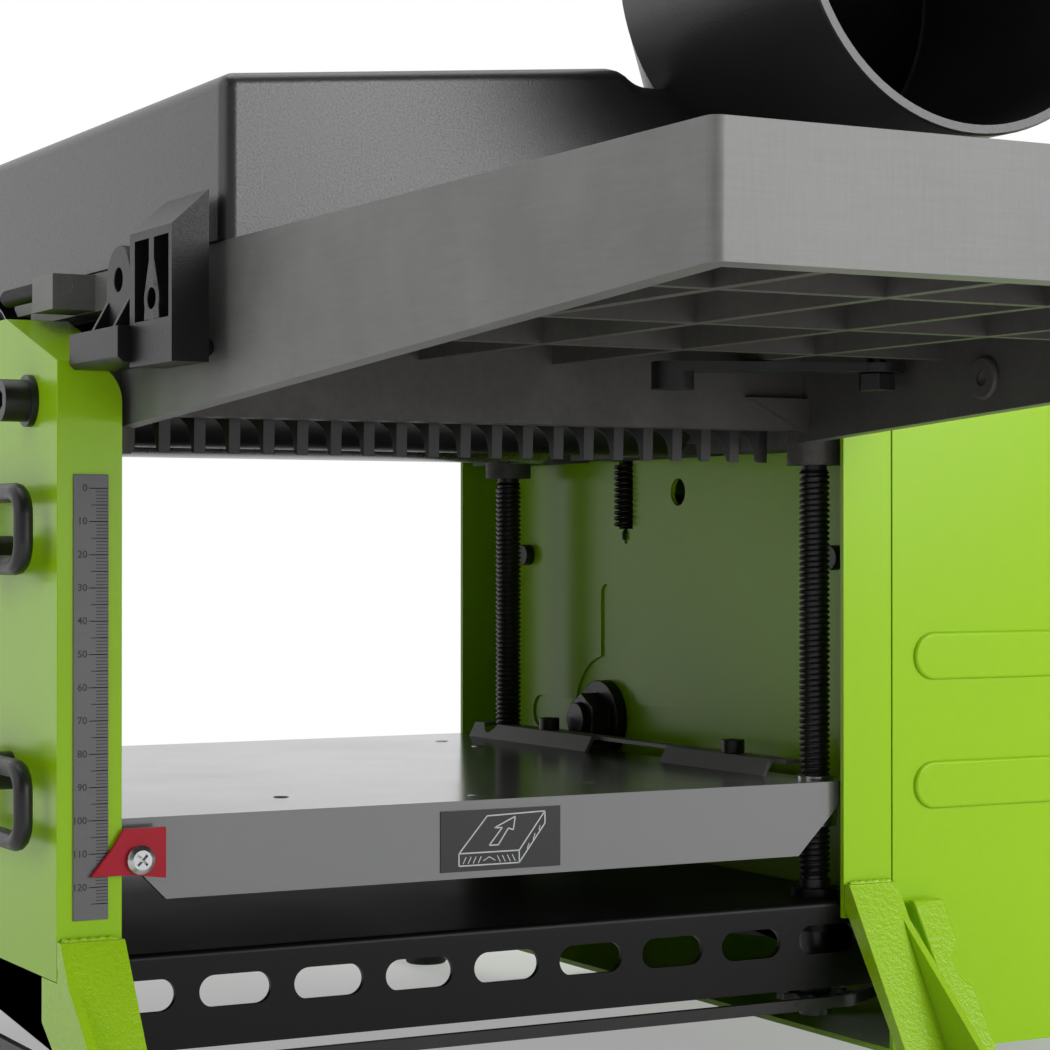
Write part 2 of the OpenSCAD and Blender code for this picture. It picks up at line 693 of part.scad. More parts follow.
wedge_xs = [for (i = [-2 : 2]) i * 50];
module wedge_screws() {
    color(black) for (i = [0 : knives - 1], x = wedge_xs) translate([0, 0, cutter_z])
        rotate([360 * i / knives, 0, 0])
            rod_z(x, -0.5, block_d / 2 - 12.9, block_d / 2 - 2.2, 3 - run_gap, 24);
}
module cutter_bearings() {
    color(steel) both_sides() difference() {
        rod_x(head_out_x - bearing_w - 1, head_out_x - 1, 0, cutter_z, bearing_d / 2);
        rod_x(head_out_x - bearing_w - 2, head_out_x, 0, cutter_z, journal_d / 2 + run_gap);
    }
}
module cutter_pulley() {
    color(black) difference() {
        union() {
            rod_x(belt_x - 2, belt_x, 0, cutter_z, cutter_pulley_r + 3);
            rod_x(belt_x - eps, belt_x + belt_w + 1, 0, cutter_z, cutter_pulley_r - 1.5);
            rod_x(belt_x + belt_w + 1 - eps, belt_x + belt_w + 3, 0, cutter_z, cutter_pulley_r + 3);
            across_x(gear_x, cutter_at, turn_1, gear_w) gear(small_teeth);
            rod_x(belt_x + belt_w, gear_x + eps, 0, cutter_z, shaft_r + 1.5);
        }
        rod_x(belt_x - 3, gear_x + gear_w + 2, 0, cutter_z, shaft_r);
    }
}

// Feed rollers, their bushes and springs, and the gear train
module feed_roller(side) {
    color(steel) {
        rod_x(1 - guard_x, guard_x - 1, side * roller_y, roller_z, roller_d / 2, 64);
        rod_x(-head_out_x + 1, chain_x + chain_t + 1, side * roller_y, roller_z, roller_pin_d / 2);
        across_x(chain_x + 0.5, [side * roller_y, roller_z], 0, sprocket_t) difference() {
            sprocket(feed_teeth, feed_r);
            circle(r = roller_pin_d / 2 - eps);
        }
    }
}
module infeed_roller() {
    feed_roller(-1);
}
module outfeed_roller() {
    feed_roller(1);
}
module roller_bushes() {
    color(black) both_sides() for (s = [-1, 1]) difference() {
        block([head_in_x + 1, s * roller_y - bush_w / 2 + slip_gap, roller_z - 10],
            [head_out_x - 1, s * roller_y + bush_w / 2 - slip_gap, roller_z + 11]);
        rod_x(head_in_x - 1, head_out_x + 1, s * roller_y, roller_z, roller_pin_d / 2 + run_gap);
    }
}

// Tension spring seen in the slot of the drive-side web: one tube swept along its curls
wire_r = 0.7;
curl_r = 3.4;
curls = 11;
spring_low_z = 201.3;
spring_high_z = 228.5;
rings = 8;
spring_pitch = (spring_high_z - spring_low_z - 2 * wire_r) / curls;
spring_x = web_x - 1;
function spring_at(i) = let (a = 360 * i / rings)
    [spring_x + curl_r * cos(a), spring_y + curl_r * sin(a), spring_low_z + wire_r + spring_pitch * i / rings];
module tube_along(path, r, sides = 6) {
    n = len(path);
    points = [for (i = [0 : n - 1])
        let (d = path[min(i + 1, n - 1)] - path[max(i - 1, 0)], t = d / norm(d),
            u = cross([0, 0, 1], t), uu = u / norm(u), v = cross(t, uu))
        for (k = [0 : sides - 1])
            path[i] + r * (cos(360 * k / sides) * uu + sin(360 * k / sides) * v)];
    faces = concat([for (i = [0 : n - 2], k = [0 : sides - 1])
            let (a = i * sides + k, b = i * sides + (k + 1) % sides)
                each [[a, b + sides, b], [a, a + sides, b + sides]]],
        [for (k = [1 : sides - 2]) [0, k, k + 1]],
        [for (k = [1 : sides - 2]) [(n - 1) * sides, (n - 1) * sides + k + 1, (n - 1) * sides + k]]);
    polyhedron(points, faces);
}
spring_path = [for (i = [0 : curls * rings]) spring_at(i)];
spring_least_gap = min([for (i = [0 : len(spring_path) - 1 - rings + 2])
    for (j = [i + rings - 2 : min(i + rings + 2, len(spring_path) - 1)])
        norm(spring_path[j] - spring_path[i])]) - 2 * wire_r;
echo(spring_least_gap = spring_least_gap);
module roller_springs() {
    color(steel) tube_along(spring_path, wire_r);
}
axle_r = 4;
gear_bore_r = axle_r + run_gap;
module feed_gear_1() {
    color(casting) difference() {
        union() {
            across_x(gear_x, gear_1_at, turn_1 + 180 + 180 / large_teeth, gear_w) gear(large_teeth);
            across_x(gear_x + gear_w - eps, gear_1_at, turn_2, gear_w + 0.7) gear(small_teeth);
        }
        rod_x(gear_x - 1, gear_x + 3 * gear_w, gear_1_at[0], gear_1_at[1], gear_bore_r);
    }
}
module feed_gear_2() {
    color(casting) difference() {
        union() {
            across_x(gear_x + gear_w + 0.7, gear_2_at, turn_2 + 180 + 180 / large_teeth, gear_w)
                gear(large_teeth);
            across_x(gear_x + 2 * gear_w + 0.6, gear_2_at, turn_3, gear_w + 0.8) gear(small_teeth);
        }
        rod_x(gear_x - 1, gear_x + 4 * gear_w, gear_2_at[0], gear_2_at[1], gear_bore_r);
    }
}
module feed_gear_3() {
    color(casting) difference() {
        union() {
            across_x(gear_x + 2 * gear_w + 1.4, gear_3_at, turn_3 + 180 + 180 / large_teeth, gear_w)
                gear(large_teeth);
            rod_x(frame_out_x + 1, gear_x + 2 * gear_w + 1.5, gear_3_at[0], gear_3_at[1], axle_r + 1.5);
            across_x(chain_x + 0.5, gear_3_at, 0, sprocket_t) sprocket(feed_teeth, feed_r);
        }
        rod_x(frame_out_x, gear_x + 4 * gear_w, gear_3_at[0], gear_3_at[1], gear_bore_r);
    }
}
module gear_axles() {
    color(steel) {
        for (k = [0, 1]) {
            at = k == 0 ? gear_1_at : gear_2_at;
            rod_x(frame_out_x, gear_x + (k + 2) * gear_w + 2 + k, at[0], at[1], axle_r);
            rod_x(frame_out_x, gear_x - 0.6 + k * (gear_w + 0.7), at[0], at[1], axle_r + 1.5);
        }
        rod_x(frame_out_x, gear_x + 3 * gear_w + 3, gear_3_at[0], gear_3_at[1], axle_r);
    }
}
feed_stops = [[gear_3_at[0], gear_3_at[1], feed_r], [-roller_y, roller_z, feed_r],
    [roller_y, roller_z, feed_r]];
module feed_chain() {
    color(black) across_x(chain_x, [0, 0], 0, chain_t) band_ring(feed_stops, 1.5, 4);
}

// Kickback fingers hang from their rod in front of the infeed roller
finger_pitch = (2 * head_in_x - 8) / fingers;
// Side view of a finger, round its rod: a straight front edge and a hooked back
finger_outline = [for (at = [[-5, 3], [-6, -6], [-5.5, -finger_reach], [-3.5, -finger_reach + 0.5],
    [-2.2, -13.5], [0.5, -10], [5, -8], [9, -7], [10, -4.5], [8, -1], [5, 3]]) [finger_y, finger_z] + at];
module kickback_rod() {
    color(steel) rod_x(-head_in_x - 8, head_in_x + 8, finger_y, finger_z, finger_rod_d / 2 - run_gap);
}
module kickback_fingers() {
    color(black) for (i = [0 : fingers - 1]) {
        x = (i - (fingers - 1) / 2) * finger_pitch;
        difference() {
            union() {
                rod_x(x - finger_pitch / 2 + slip_gap, x + finger_pitch / 2 - slip_gap, finger_y, finger_z,
                    finger_rod_d / 2 + 2, 32);
                slab_x(x - finger_t / 2, x + finger_t / 2, finger_outline);
            }
            rod_x(x - finger_pitch, x + finger_pitch, finger_y, finger_z, finger_rod_d / 2, 32);
        }
    }
}

// Thicknesser table: pressed sheet with folded aprons, lifted by four nuts
ear_x = spindle_x + 11;
module thicknesser_table() {
    apron = [[-bed_x, 0], [-bed_x, bed_corner - bed_apron_h], [-bed_x + bed_corner, -bed_apron_h],
        [bed_x - bed_corner, -bed_apron_h], [bed_x, bed_corner - bed_apron_h], [bed_x, 0]];
    color([0.6, 0.6, 0.61]) difference() {
        union() {
            translate([0, 0, bed_z - bed_t]) linear_extrude(bed_t) {
                rounded([-bed_x, bed_y0], [bed_x, bed_y1], 3);
                both_sides() for (y = [front_spindle_y, rear_spindle_y])
                    rounded([bed_x - 24, max(bed_y0, y - 13)], [ear_x, y + 13], 9);
            }
            translate([0, 0, bed_z - eps]) for (y = [bed_y0, bed_y1 - bed_t]) slab_y(y, y + bed_t, apron);
            for (x = [-72, 0, 72]) block([x - 1.5, bed_y0 + 1, bed_z - 16], [x + 1.5, bed_y1 - 1, bed_z - 1]);
            both_sides() block([guard_screw_x - 10, bed_y0 + 26, bed_z - 16],
                [guard_screw_x - 7, rear_spindle_y - 14, bed_z - 1]);
        }
        both_sides() for (y = [front_spindle_y, rear_spindle_y])
            rod_z(spindle_x, y, bed_z - bed_t - 20, bed_z + 1, spindle_d / 2 + 1);
        both_sides() for (y = guard_screw_ys) rod_z(guard_screw_x, y, bed_z - bed_t - 1, bed_z + 1, 2.6);
    }
}
guard_screw_ys = [-81, 59];
guard_screw_x = bed_x - 4.5;
module lift_nuts() {
    color([0.75, 0.6, 0.3]) both_sides() for (y = [front_spindle_y, rear_spindle_y]) difference() {
        union() {
            rod_z(spindle_x, y, bed_z - bed_t - nut_h, bed_z - bed_t, nut_d / 2);
            rod_z(spindle_x, y, bed_z - bed_t - eps, bed_z + 1.2, spindle_d / 2 + 1 - run_gap);
        }
        rod_z(spindle_x, y, bed_z - bed_t - nut_h - 1, bed_z + 2, spindle_d / 2 + run_gap);
    }
}
// Bent strips that keep a board off the spindles
guard_t = 1.5;
guard_h = 6;
guard_x = table_w / 2 - 8;
guard_y0 = bed_y0 + 24;
guard_y1 = bed_y1 - 17;
guard_gap = [-41, 16];
module width_guards() {
    color([0.6, 0.6, 0.61]) both_sides() difference() {
        union() {
            block([guard_x + 6, guard_y0, bed_z + guard_h - guard_t], [bed_x, guard_y1, bed_z + guard_h]);
            for (part = [[guard_y0 + 6, guard_gap[0]], [guard_gap[1], guard_y1]])
                slab_y(part[0], part[1], [[guard_x, bed_z],
                [guard_x + 3, bed_z + guard_h], [bed_x, bed_z + guard_h], [bed_x, bed_z + guard_h - guard_t],
                [guard_x + 4, bed_z + guard_h - guard_t], [guard_x + guard_t, bed_z]]);
            // Pads under the screws
            for (y = guard_screw_ys) rod_z(guard_screw_x, y, bed_z, bed_z + guard_h - guard_t + eps, 4);
        }
        rod_z(spindle_x, rear_spindle_y, bed_z - 1, bed_z + guard_h + 1, boss_r + 2 * slip_gap);
        for (y = guard_screw_ys) rod_z(guard_screw_x, y, bed_z - 1, bed_z + guard_h + 1, 2.6);
    }
}
module guard_screws() {
    color(black) both_sides() for (y = guard_screw_ys) {
        rod_z(guard_screw_x, y, bed_z - 8, bed_z + guard_h + 1, 2.5);
        difference() {
            rod_z(guard_screw_x, y, bed_z + guard_h, bed_z + guard_h + 5, 4.25);
            rod_z(guard_screw_x, y, bed_z + guard_h + 2, bed_z + guard_h + 6, 2, 6);
        }
    }
}
// Red pointer in front of the left flange, bent forward from the table's apron
pointer_t = 1.5;
pointer_screw_x = 5 - frame_in_x;
pointer_screw_z = bed_z - 12;
pointer_y = -frame_y - 2.2;
module height_pointer() {
    color(red) difference() {
        translate([-frame_in_x, 0, bed_z]) slab_y(pointer_y, pointer_y + pointer_t,
            [[13.5, -2.5], [0, -2.5], [-3.5, -8], [-10.5, -16.5], [2, -16.5], [13.5, -18]]);
        rod_y(pointer_screw_x, pointer_y - 2, pointer_y + 4, pointer_screw_z, 2.2);
    }
    color(red) difference() {
        rod_y(pointer_screw_x, pointer_y + pointer_t - eps, bed_y0, pointer_screw_z, 4.4);
        rod_y(pointer_screw_x, pointer_y, bed_y0 + 1, pointer_screw_z, 2.2);
    }
}
module pointer_screw() {
    color(steel) translate([pointer_screw_x, pointer_y, pointer_screw_z]) rotate([90, 0, 0]) difference() {
        union() {
            cylinder(h = 1.4, r = 4.4);
            translate([0, 0, 1.4 - eps]) cylinder(h = 1.1, r1 = 4.4, r2 = 3);
            translate([0, 0, pointer_y - bed_y0]) cylinder(h = bed_y0 - pointer_y + eps, r = 2.1);
        }
        for (a = [45, 135]) rotate(a) block([-2.2, -0.4, 1.2], [2.2, 0.4, 4]);
    }
}

// Spindles with thread rings, a collar under the tray and a sprocket
thread_low_z = bed_z - bed_t - nut_h - lift_down - 16;
thread_high_z = boss_low_z - 3;
thread_rings = floor((thread_high_z - thread_low_z) / pitch);
function thread_profile() = [for (i = [0 : thread_rings - 1], c = [0 : 3])
    [spindle_d / 2 - (c == 1 || c == 2 ? thread_h : 0),
        thread_low_z + pitch * (i + (c == 0 ? 0.1 : c == 1 ? 0.4 : c == 2 ? 0.6 : 0.9))]];
module spindle(x, y) {
    color(black) translate([x, y, 0]) {
        rotate_extrude($fn = 32) polygon(concat([[0, chain_z - 5], [spindle_d / 2, chain_z - 5]],
            thread_profile(), [[spindle_d / 2, thread_high_z], [spindle_top_r, thread_high_z + 1.5],
            [spindle_top_r, boss_low_z + 20], [0, boss_low_z + 20]]));
        translate([0, 0, chain_z]) linear_extrude(sprocket_t) sprocket(lift_teeth, lift_r);
    }
}
module front_left_spindle() {
    spindle(-spindle_x, front_spindle_y);
}
module front_right_spindle() {
    spindle(spindle_x, front_spindle_y);
}
module rear_left_spindle() {
    spindle(-spindle_x, rear_spindle_y);
}
module rear_right_spindle() {
    spindle(spindle_x, rear_spindle_y);
}
module lift_chain() {
    color(black) translate([0, 0, chain_z - 0.5]) linear_extrude(chain_t) band_ring(chain_stops, 1.5, 4);
}

// Crank on its own shaft through the drive housing, geared to the spindles by the chain
crank_shaft_r = 6;
crank_z = housing_top_z + 16;
module crank_shaft() {
    color(steel) {
        rod_z(crank_x, crank_y, housing_bottom_z + housing_t + 1, crank_z + 9, crank_shaft_r);
        translate([crank_x, crank_y, chain_z]) linear_extrude(sprocket_t) difference() {
            sprocket(lift_teeth, lift_r);
            circle(r = crank_shaft_r - eps);
        }
    }
}
module crank_arm() {
    color(black) difference() {
        union() {
            rod_z(crank_x, crank_y, crank_z, crank_z + 12, 11);
            rod_z(crank_x, crank_y + crank_r, crank_z + 3, crank_z + 9, 9);
            block([crank_x - 7, crank_y, crank_z + 3], [crank_x + 7, crank_y + crank_r, crank_z + 9]);
        }
        rod_z(crank_x, crank_y, crank_z - 1, crank_z + 9, crank_shaft_r);
    }
    color(steel) rod_z(crank_x, crank_y + crank_r, crank_z + 9 - eps, crank_z + 62, 4);
}
module crank_grip() {
    color(black) translate([crank_x, crank_y + crank_r, crank_z + 9 + slip_gap]) rotate_extrude() polygon([
        [4 + run_gap, 0], [8, 0], [10, 4], [11.5, 14], [12, 30], [11, 42], [8, 49], [5, 50], [4 + run_gap, 50]]);
}

// Scale plate on the left front flange
scale_x = -frame_in_x - 10;
scale_top_z = table_top_z - 64;
module scale_plate() {
    color([0.45, 0.45, 0.46]) difference() {
        block([scale_x - scale_w / 2, -frame_y - 0.6, scale_top_z - scale_h],
            [scale_x + scale_w / 2, -frame_y, scale_top_z]);
        for (i = [0 : 10 : scale_span])
            block([scale_x - scale_w / 2 - 1, -frame_y - 1, scale_top_z - 4.3 - i],
                [scale_x - scale_w / 2 + 3, -frame_y - 0.45, scale_top_z - 4 - i]);
    }
}

// Wire hooks on the outside of the left frame, each held by a bolt and washer
hook_rod_r = 3;
hook_reach = 37;
hook_x = -frame_out_x - 8;
module wire_hook(z, up) {
    h = 19;
    near = z - up * 3;
    far = z + up * h;
    for (s = [-1, 1])
        rod_z(hook_x, -hook_y + s * hook_reach, min(near, far), max(near, far), hook_rod_r, 24);
    for (zz = [near, far]) {
        rod_y(hook_x, -hook_y - hook_reach, -hook_y + hook_reach, zz, hook_rod_r, 24);
        for (s = [-1, 1]) translate([hook_x, -hook_y + s * hook_reach, zz]) sphere(r = hook_rod_r, $fn = 24);
    }
    rod_x(hook_x - hook_rod_r - 2, hook_x - hook_rod_r + 1, -hook_y, z, 9);
    rod_x(hook_x - hook_rod_r - 6, hook_x - hook_rod_r - 1, -hook_y, z, 5.5, 6);
    rod_x(hook_x - hook_rod_r, -frame_out_x, -hook_y, z, 6);
    rod_x(-frame_out_x - 1, -web_x + 3, -hook_y, z, 3);
}
module cord_hooks() {
    color(black) {
        wire_hook(hook_top_z, 1);
        wire_hook(hook_low_z, -1);
    }
}
module fence_stud() {
    color(black) {
        rod_y(fence_stud_x, stud_ear_y1 - 10, stud_ear_y1 + slip_gap + eps, fence_stud_z, fence_seat_r);
        rod_y(fence_stud_x, stud_ear_y1 + slip_gap, fence_stud_y, fence_stud_z, fence_stud_r);
    }
}

// Drive housing: a sheet box open towards the side frame, with two pressed ribs in front
housing_x0 = frame_out_x + recess_d + slip_gap;
housing_x1 = frame_out_x + housing_w;
housing_y = frame_y - 1;
module housing_outline(inset) {
    y = housing_y - inset;
    top = housing_top_z - inset;
    r = housing_r - inset;
    union() {
        translate([-y, housing_bottom_z + inset]) square([2 * y, top - r - housing_bottom_z - inset]);
        translate([-y + r, housing_bottom_z + inset]) square([2 * (y - r), top - housing_bottom_z - inset]);
        for (s = [-1, 1]) translate([s * (y - r), top - r]) circle(r = r, $fn = 64);
    }
}
rib_low_z = 109;
rib_high_z = 155;
rib_width = 17;
rib_x0 = housing_x0 + 9.2;
rib_x1 = housing_x1 - 31.5;
gland_x = housing_x1 - 43.5;
gland_z = 60;
gland_bore_r = 4.5;
module drive_housing() {
    color(green) difference() {
        union() {
            across_x(housing_x0, [0, 0], 0, housing_x1 - housing_x0) housing_outline(0);
            for (z = [rib_low_z, rib_high_z])
                translate([(rib_x0 + rib_x1) / 2, -housing_y, z]) rotate([90, 0, 0])
                    slot_hole(rib_x1 - rib_x0, rib_width, 3);
            rod_z(crank_x, crank_y, housing_top_z - 4, housing_top_z + 6, crank_shaft_r + 5);
            rod_z(crank_x, crank_y, housing_bottom_z, housing_bottom_z + 10, crank_shaft_r + 5);
        }
        difference() {
            across_x(housing_x0 - 1, [0, 0], 0, housing_x1 - housing_x0 + 1 - housing_t)
                housing_outline(housing_t);
            rod_z(crank_x, crank_y, housing_bottom_z, housing_bottom_z + 10, crank_shaft_r + 5);
            rod_z(crank_x, crank_y, housing_top_z - 6, housing_top_z, crank_shaft_r + 5);
        }
        rod_z(crank_x, crank_y, housing_top_z - 10, housing_top_z + 8, crank_shaft_r + run_gap);
        rod_z(crank_x, crank_y, housing_bottom_z + housing_t, housing_bottom_z + 11, crank_shaft_r + run_gap);
        for (i = [0 : 5]) translate([housing_x1, 66, 70 + 12 * i]) rotate([90, 0, 90]) slot_hole(56, 4, 10);
        rod_y(gland_x, housing_y - 5, housing_y + 5, gland_z, 8);
        rod_x(housing_x1 - 5, housing_x1 + 5, reset_y, reset_z, 6);
        block([housing_x1 - 5, switch_y - 16, switch_z - 26], [housing_x1 + 1, switch_y + 16, switch_z + 26]);
    }
}
motor_x0 = gear_x + 2;
module motor_can() {
    color([0.5, 0.5, 0.52]) {
        rod_x(motor_x0, motor_x0 + motor_l, motor_y, motor_z, motor_d / 2 - 3, 96);
        rod_x(motor_x0, motor_x0 + 12, motor_y, motor_z, motor_d / 2, 96);
        rod_x(motor_x0 + motor_l - 14, motor_x0 + motor_l, motor_y, motor_z, motor_d / 2, 96);
    }
}
module motor_bracket() {
    color(black) difference() {
        union() {
            block([motor_x0 - 3, motor_y - 56, motor_z - 66], [motor_x0, motor_y + 56, motor_z + 10]);
            block([frame_out_x + recess_d, motor_y - 56, motor_z - 66],
                [motor_x0, motor_y + 56, motor_z - 60]);
        }
        rod_x(motor_x0 - 4, motor_x0 + 1, motor_y, motor_z, 14);
    }
}
motor_shaft_r = 7;
module motor_pulley() {
    color(black) {
        rod_x(belt_x - 2, belt_x, motor_y, motor_z, motor_pulley_r + 3, 64);
        rod_x(belt_x - eps, belt_x + belt_w + 1, motor_y, motor_z, motor_pulley_r - 1.5, 64);
        rod_x(belt_x + belt_w + 1 - eps, belt_x + belt_w + 3, motor_y, motor_z, motor_pulley_r + 3, 64);
    }
    color(steel) rod_x(web_x + 1, motor_x0 - slip_gap, motor_y, motor_z, motor_shaft_r);
}
belt_stops = [[0, cutter_z, cutter_pulley_r], [motor_y, motor_z, motor_pulley_r]];
module drive_belt() {
    color(rubber) across_x(belt_x + 0.5, [0, 0], 0, belt_w) band_ring(belt_stops, -1.2, 2);
}
module boss_nut() {
    color(black) difference() {
        union() {
            rod_x(web_x - 4, web_x + recess_d, motor_y, motor_z, 16);
            rod_x(web_x - 12, web_x - 4 + eps, motor_y, motor_z, 11, 6);
            rod_x(web_x - 15, web_x - 12 + eps, motor_y, motor_z, 7);
            rod_x(web_x + recess_d - eps, frame_out_x, motor_y, motor_z, 10);
        }
        rod_x(web_x - 3, frame_out_x + 1, motor_y, motor_z, motor_shaft_r + run_gap);
    }
    color(black) for (y = web_screw_ys) {
        rod_x(web_x - eps, frame_out_x + 2, y, web_screw_z, web_screw_r);
        rod_x(web_x - 4, web_x, y, web_screw_z, web_screw_r + 2);
    }
}

// Switch unit on the outer face of the housing
switch_y = -96;
switch_z = 196;
switch_w = 44;
switch_h = 66;
switch_t = 14;
button_r = 11;
reset_y = -96;
reset_z = 140;
module switch_box() {
    color(black) difference() {
        union() {
            block([housing_x1, switch_y - switch_w / 2, switch_z - switch_h / 2],
                [housing_x1 + switch_t, switch_y + switch_w / 2, switch_z + switch_h / 2]);
            block([housing_x1 - 30, switch_y - 15, switch_z - 25],
                [housing_x1 + eps, switch_y + 15, switch_z + 25]);
        }
        for (s = [-1, 1]) rod_x(housing_x1 + 2, housing_x1 + switch_t + 1, switch_y, switch_z + 15 * s,
            button_r + slip_gap);
    }
}
module push_button(z, tint, proud) {
    color(tint) rod_x(housing_x1 + 6, housing_x1 + switch_t + proud, switch_y, z, button_r);
}
module start_button() {
    push_button(switch_z + 15, [0.1, 0.6, 0.2], 1);
}
module stop_button() {
    push_button(switch_z - 15, red, 4);
}
module reset_button() {
    color(black) {
        rod_x(housing_x1 - 12, housing_x1 + 4, reset_y, reset_z, 5.7);
        rod_x(housing_x1 + 3, housing_x1 + 6, reset_y, reset_z, 7);
    }
}
module cable_gland() {
    color(black) difference() {
        union() {
            rod_y(gland_x, housing_y - 8, housing_y + 14, gland_z, 7.7);
            rod_y(gland_x, housing_y, housing_y + 5, gland_z, 13, 6);
            rod_y(gland_x, housing_y + 5 - eps, housing_y + 16, gland_z, 10);
        }
        rod_y(gland_x, housing_y - 9, housing_y + 17, gland_z, gland_bore_r);
    }
}

// Chip hood over the cutterblock, with the round outlet towards the front
hood_x = table_w / 2 + 1;
port_x = hood_x - port_in;
hood_roof_z = table_top_z + hood_h;
hood_fall_y = -44;
hood_back_h = 26;
module hood_block(d) {
    left = -hood_x + d;
    right = hood_x - d;
    top = hood_roof_z - d;
    low = table_top_z + (d > 0 ? -1 : 0.2);
    step_x = port_x - port_r - 3;
    difference() {
        slab_y(hood_front_y + d, hood_back_y - d, [[left, low], [right, low], [right, top + hood_rise - 5],
            [step_x + 7, top + hood_rise - 5], [step_x, top + hood_rise], [left, top]]);
        slab_x(-hood_x - 1, hood_x + 1, [[hood_fall_y - d / 2, hood_roof_z + 40],
            [hood_fall_y - d / 2, top + hood_rise + 13], [hood_back_y - d + eps, table_top_z + hood_back_h - d],
            [hood_back_y + 20, table_top_z + hood_back_h - d], [hood_back_y + 20, hood_roof_z + 40]]);
    }
}
// Throat that gathers the roof into the round outlet
throat_back_y = -150;
cuff_stop_y = hood_front_y - 6;
module throat(d) {
    hull() {
        rod_y(port_x, hood_front_y + d / 2, hood_front_y + 6 + d / 2, port_z, port_r - 1 - d, 32);
        block([port_x + d, hood_front_y + d, table_top_z + 20],
            [hood_x - d, throat_back_y - d, hood_roof_z - d]);
    }
}
module chip_hood() {
    color(black) difference() {
        union() {
            hood_block(0);
            throat(0);
            rod_y(port_x, port_mouth_y, cuff_stop_y, port_z, port_r, 96);
            rod_y(port_x, cuff_stop_y - eps, hood_front_y + 6, port_z, port_r - 1, 96);
        }
        hood_block(hood_t);
        throat(hood_t);
        rod_y(port_x, port_mouth_y - 1, hood_front_y + 7, port_z, port_r - hood_t, 96);
    }
}

// Clips beside the hood, hinged on the table's aprons
latch_x0 = hood_x + 5;
latch_x1 = latch_x0 + 11;
latch_low_z = 245.5;
latch_pin_r = 2.85;
latch_pin_x = table_w / 2 + slip_gap + latch_pin_r;
latch_pin_z = 250.4;
latch_pin_y0 = -214;
latch_pin_y1 = -156;
latch_arm_y = -150;
latch_eye_y = -176;
latch_eye_z = 272;
latch_eye_r = 10;
latch_y0 = -224;
latch_y1 = -191;
latch_top_z = 293.5;
module latch() {
    difference() {
        slab_y(latch_y0, latch_y1, [[latch_x0, latch_low_z], [latch_x1, latch_low_z],
            [latch_x1, latch_top_z - 10], [latch_x0, latch_top_z]]);
        for (y = [latch_y0 + 5, latch_y0 + 20])
            block([latch_x0 + 4, y, latch_low_z - 1], [latch_x1 + 1, y + 10, latch_top_z - 4]);
    }
    block([latch_x0, latch_y1 - eps, latch_low_z + 1.5], [latch_x1 + 3, latch_arm_y, latch_low_z + 12]);
    difference() {
        union() {
            rod_x(latch_x1 - 6, latch_x1, latch_eye_y, latch_eye_z, latch_eye_r);
            block([latch_x1 - 6, latch_eye_y - latch_eye_r, latch_low_z + 10],
                [latch_x1, latch_eye_y + latch_eye_r, latch_eye_z]);
        }
        rod_x(latch_x1 - 7, latch_x1 + 1, latch_eye_y, latch_eye_z, 3.5);
    }
    // Hinge barrel beside the table's apron, and the rib that ties it on
    rod_y(latch_pin_x, latch_pin_y0, latch_pin_y1, latch_pin_z, latch_pin_r);
    block([latch_pin_x, latch_pin_y0, latch_pin_z - 2], [latch_x0 + eps, latch_y1, latch_pin_z + 2]);
}
module left_latch() {
    color(black) mirror([1, 0, 0]) latch();
}
module right_latch() {
    color(black) latch();
}

// Lever that swings under the outfeed table, and the bracket beside it
lever_x = rib_field / 2 - 12;
lever_y = -195;
lever_l = 69;
lever_turn = -19.5;
lever_pin_r = 3;
lever_z = table_top_z - plate_t - rib_h - 3.5;
module table_lever() {
    color(black) translate([lever_x, lever_y, lever_z]) rotate(lever_turn) difference() {
        union() {
            cylinder(h = 3, r = 9);
            block([-lever_l, -7, 0], [0, 7, 3]);
            translate([-lever_l, 0, -6]) cylinder(h = 9, r = 7);
        }
        translate([0, 0, -1]) cylinder(h = 5, r = lever_pin_r + run_gap);
    }
}
module lever_bracket() {
    color(black) {
        rod_z(lever_x, lever_y, lever_z - 4, table_top_z - plate_t - 2.5, lever_pin_r);
        rod_z(lever_x, lever_y, lever_z - 6, lever_z - slip_gap, 6.5, 6);
    }
}

left_side_frame();
right_side_frame();
legs();
rubber_feet();
base_tray();
head_casting();
outfeed_table();
infeed_table();
side_bolts();
guide_studs();
depth_knob();
cutterblock();
cutter_knives();
wedge_screws();
cutter_bearings();
cutter_pulley();
infeed_roller();
outfeed_roller();
roller_bushes();
roller_springs();
feed_gear_1();
feed_gear_2();
feed_gear_3();
gear_axles();
feed_chain();
kickback_rod();
kickback_fingers();
thicknesser_table();
lift_nuts();
width_guards();
guard_screws();
height_pointer();
pointer_screw();
front_left_spindle();
front_right_spindle();
rear_left_spindle();
rear_right_spindle();
lift_chain();
crank_shaft();
crank_arm();
crank_grip();
scale_plate();
cord_hooks();
fence_stud();
drive_housing();
motor_can();
motor_bracket();
motor_pulley();
drive_belt();
boss_nut();
switch_box();
start_button();
stop_button();
reset_button();
cable_gland();
chip_hood();
left_latch();
right_latch();
table_lever();
lever_bracket();
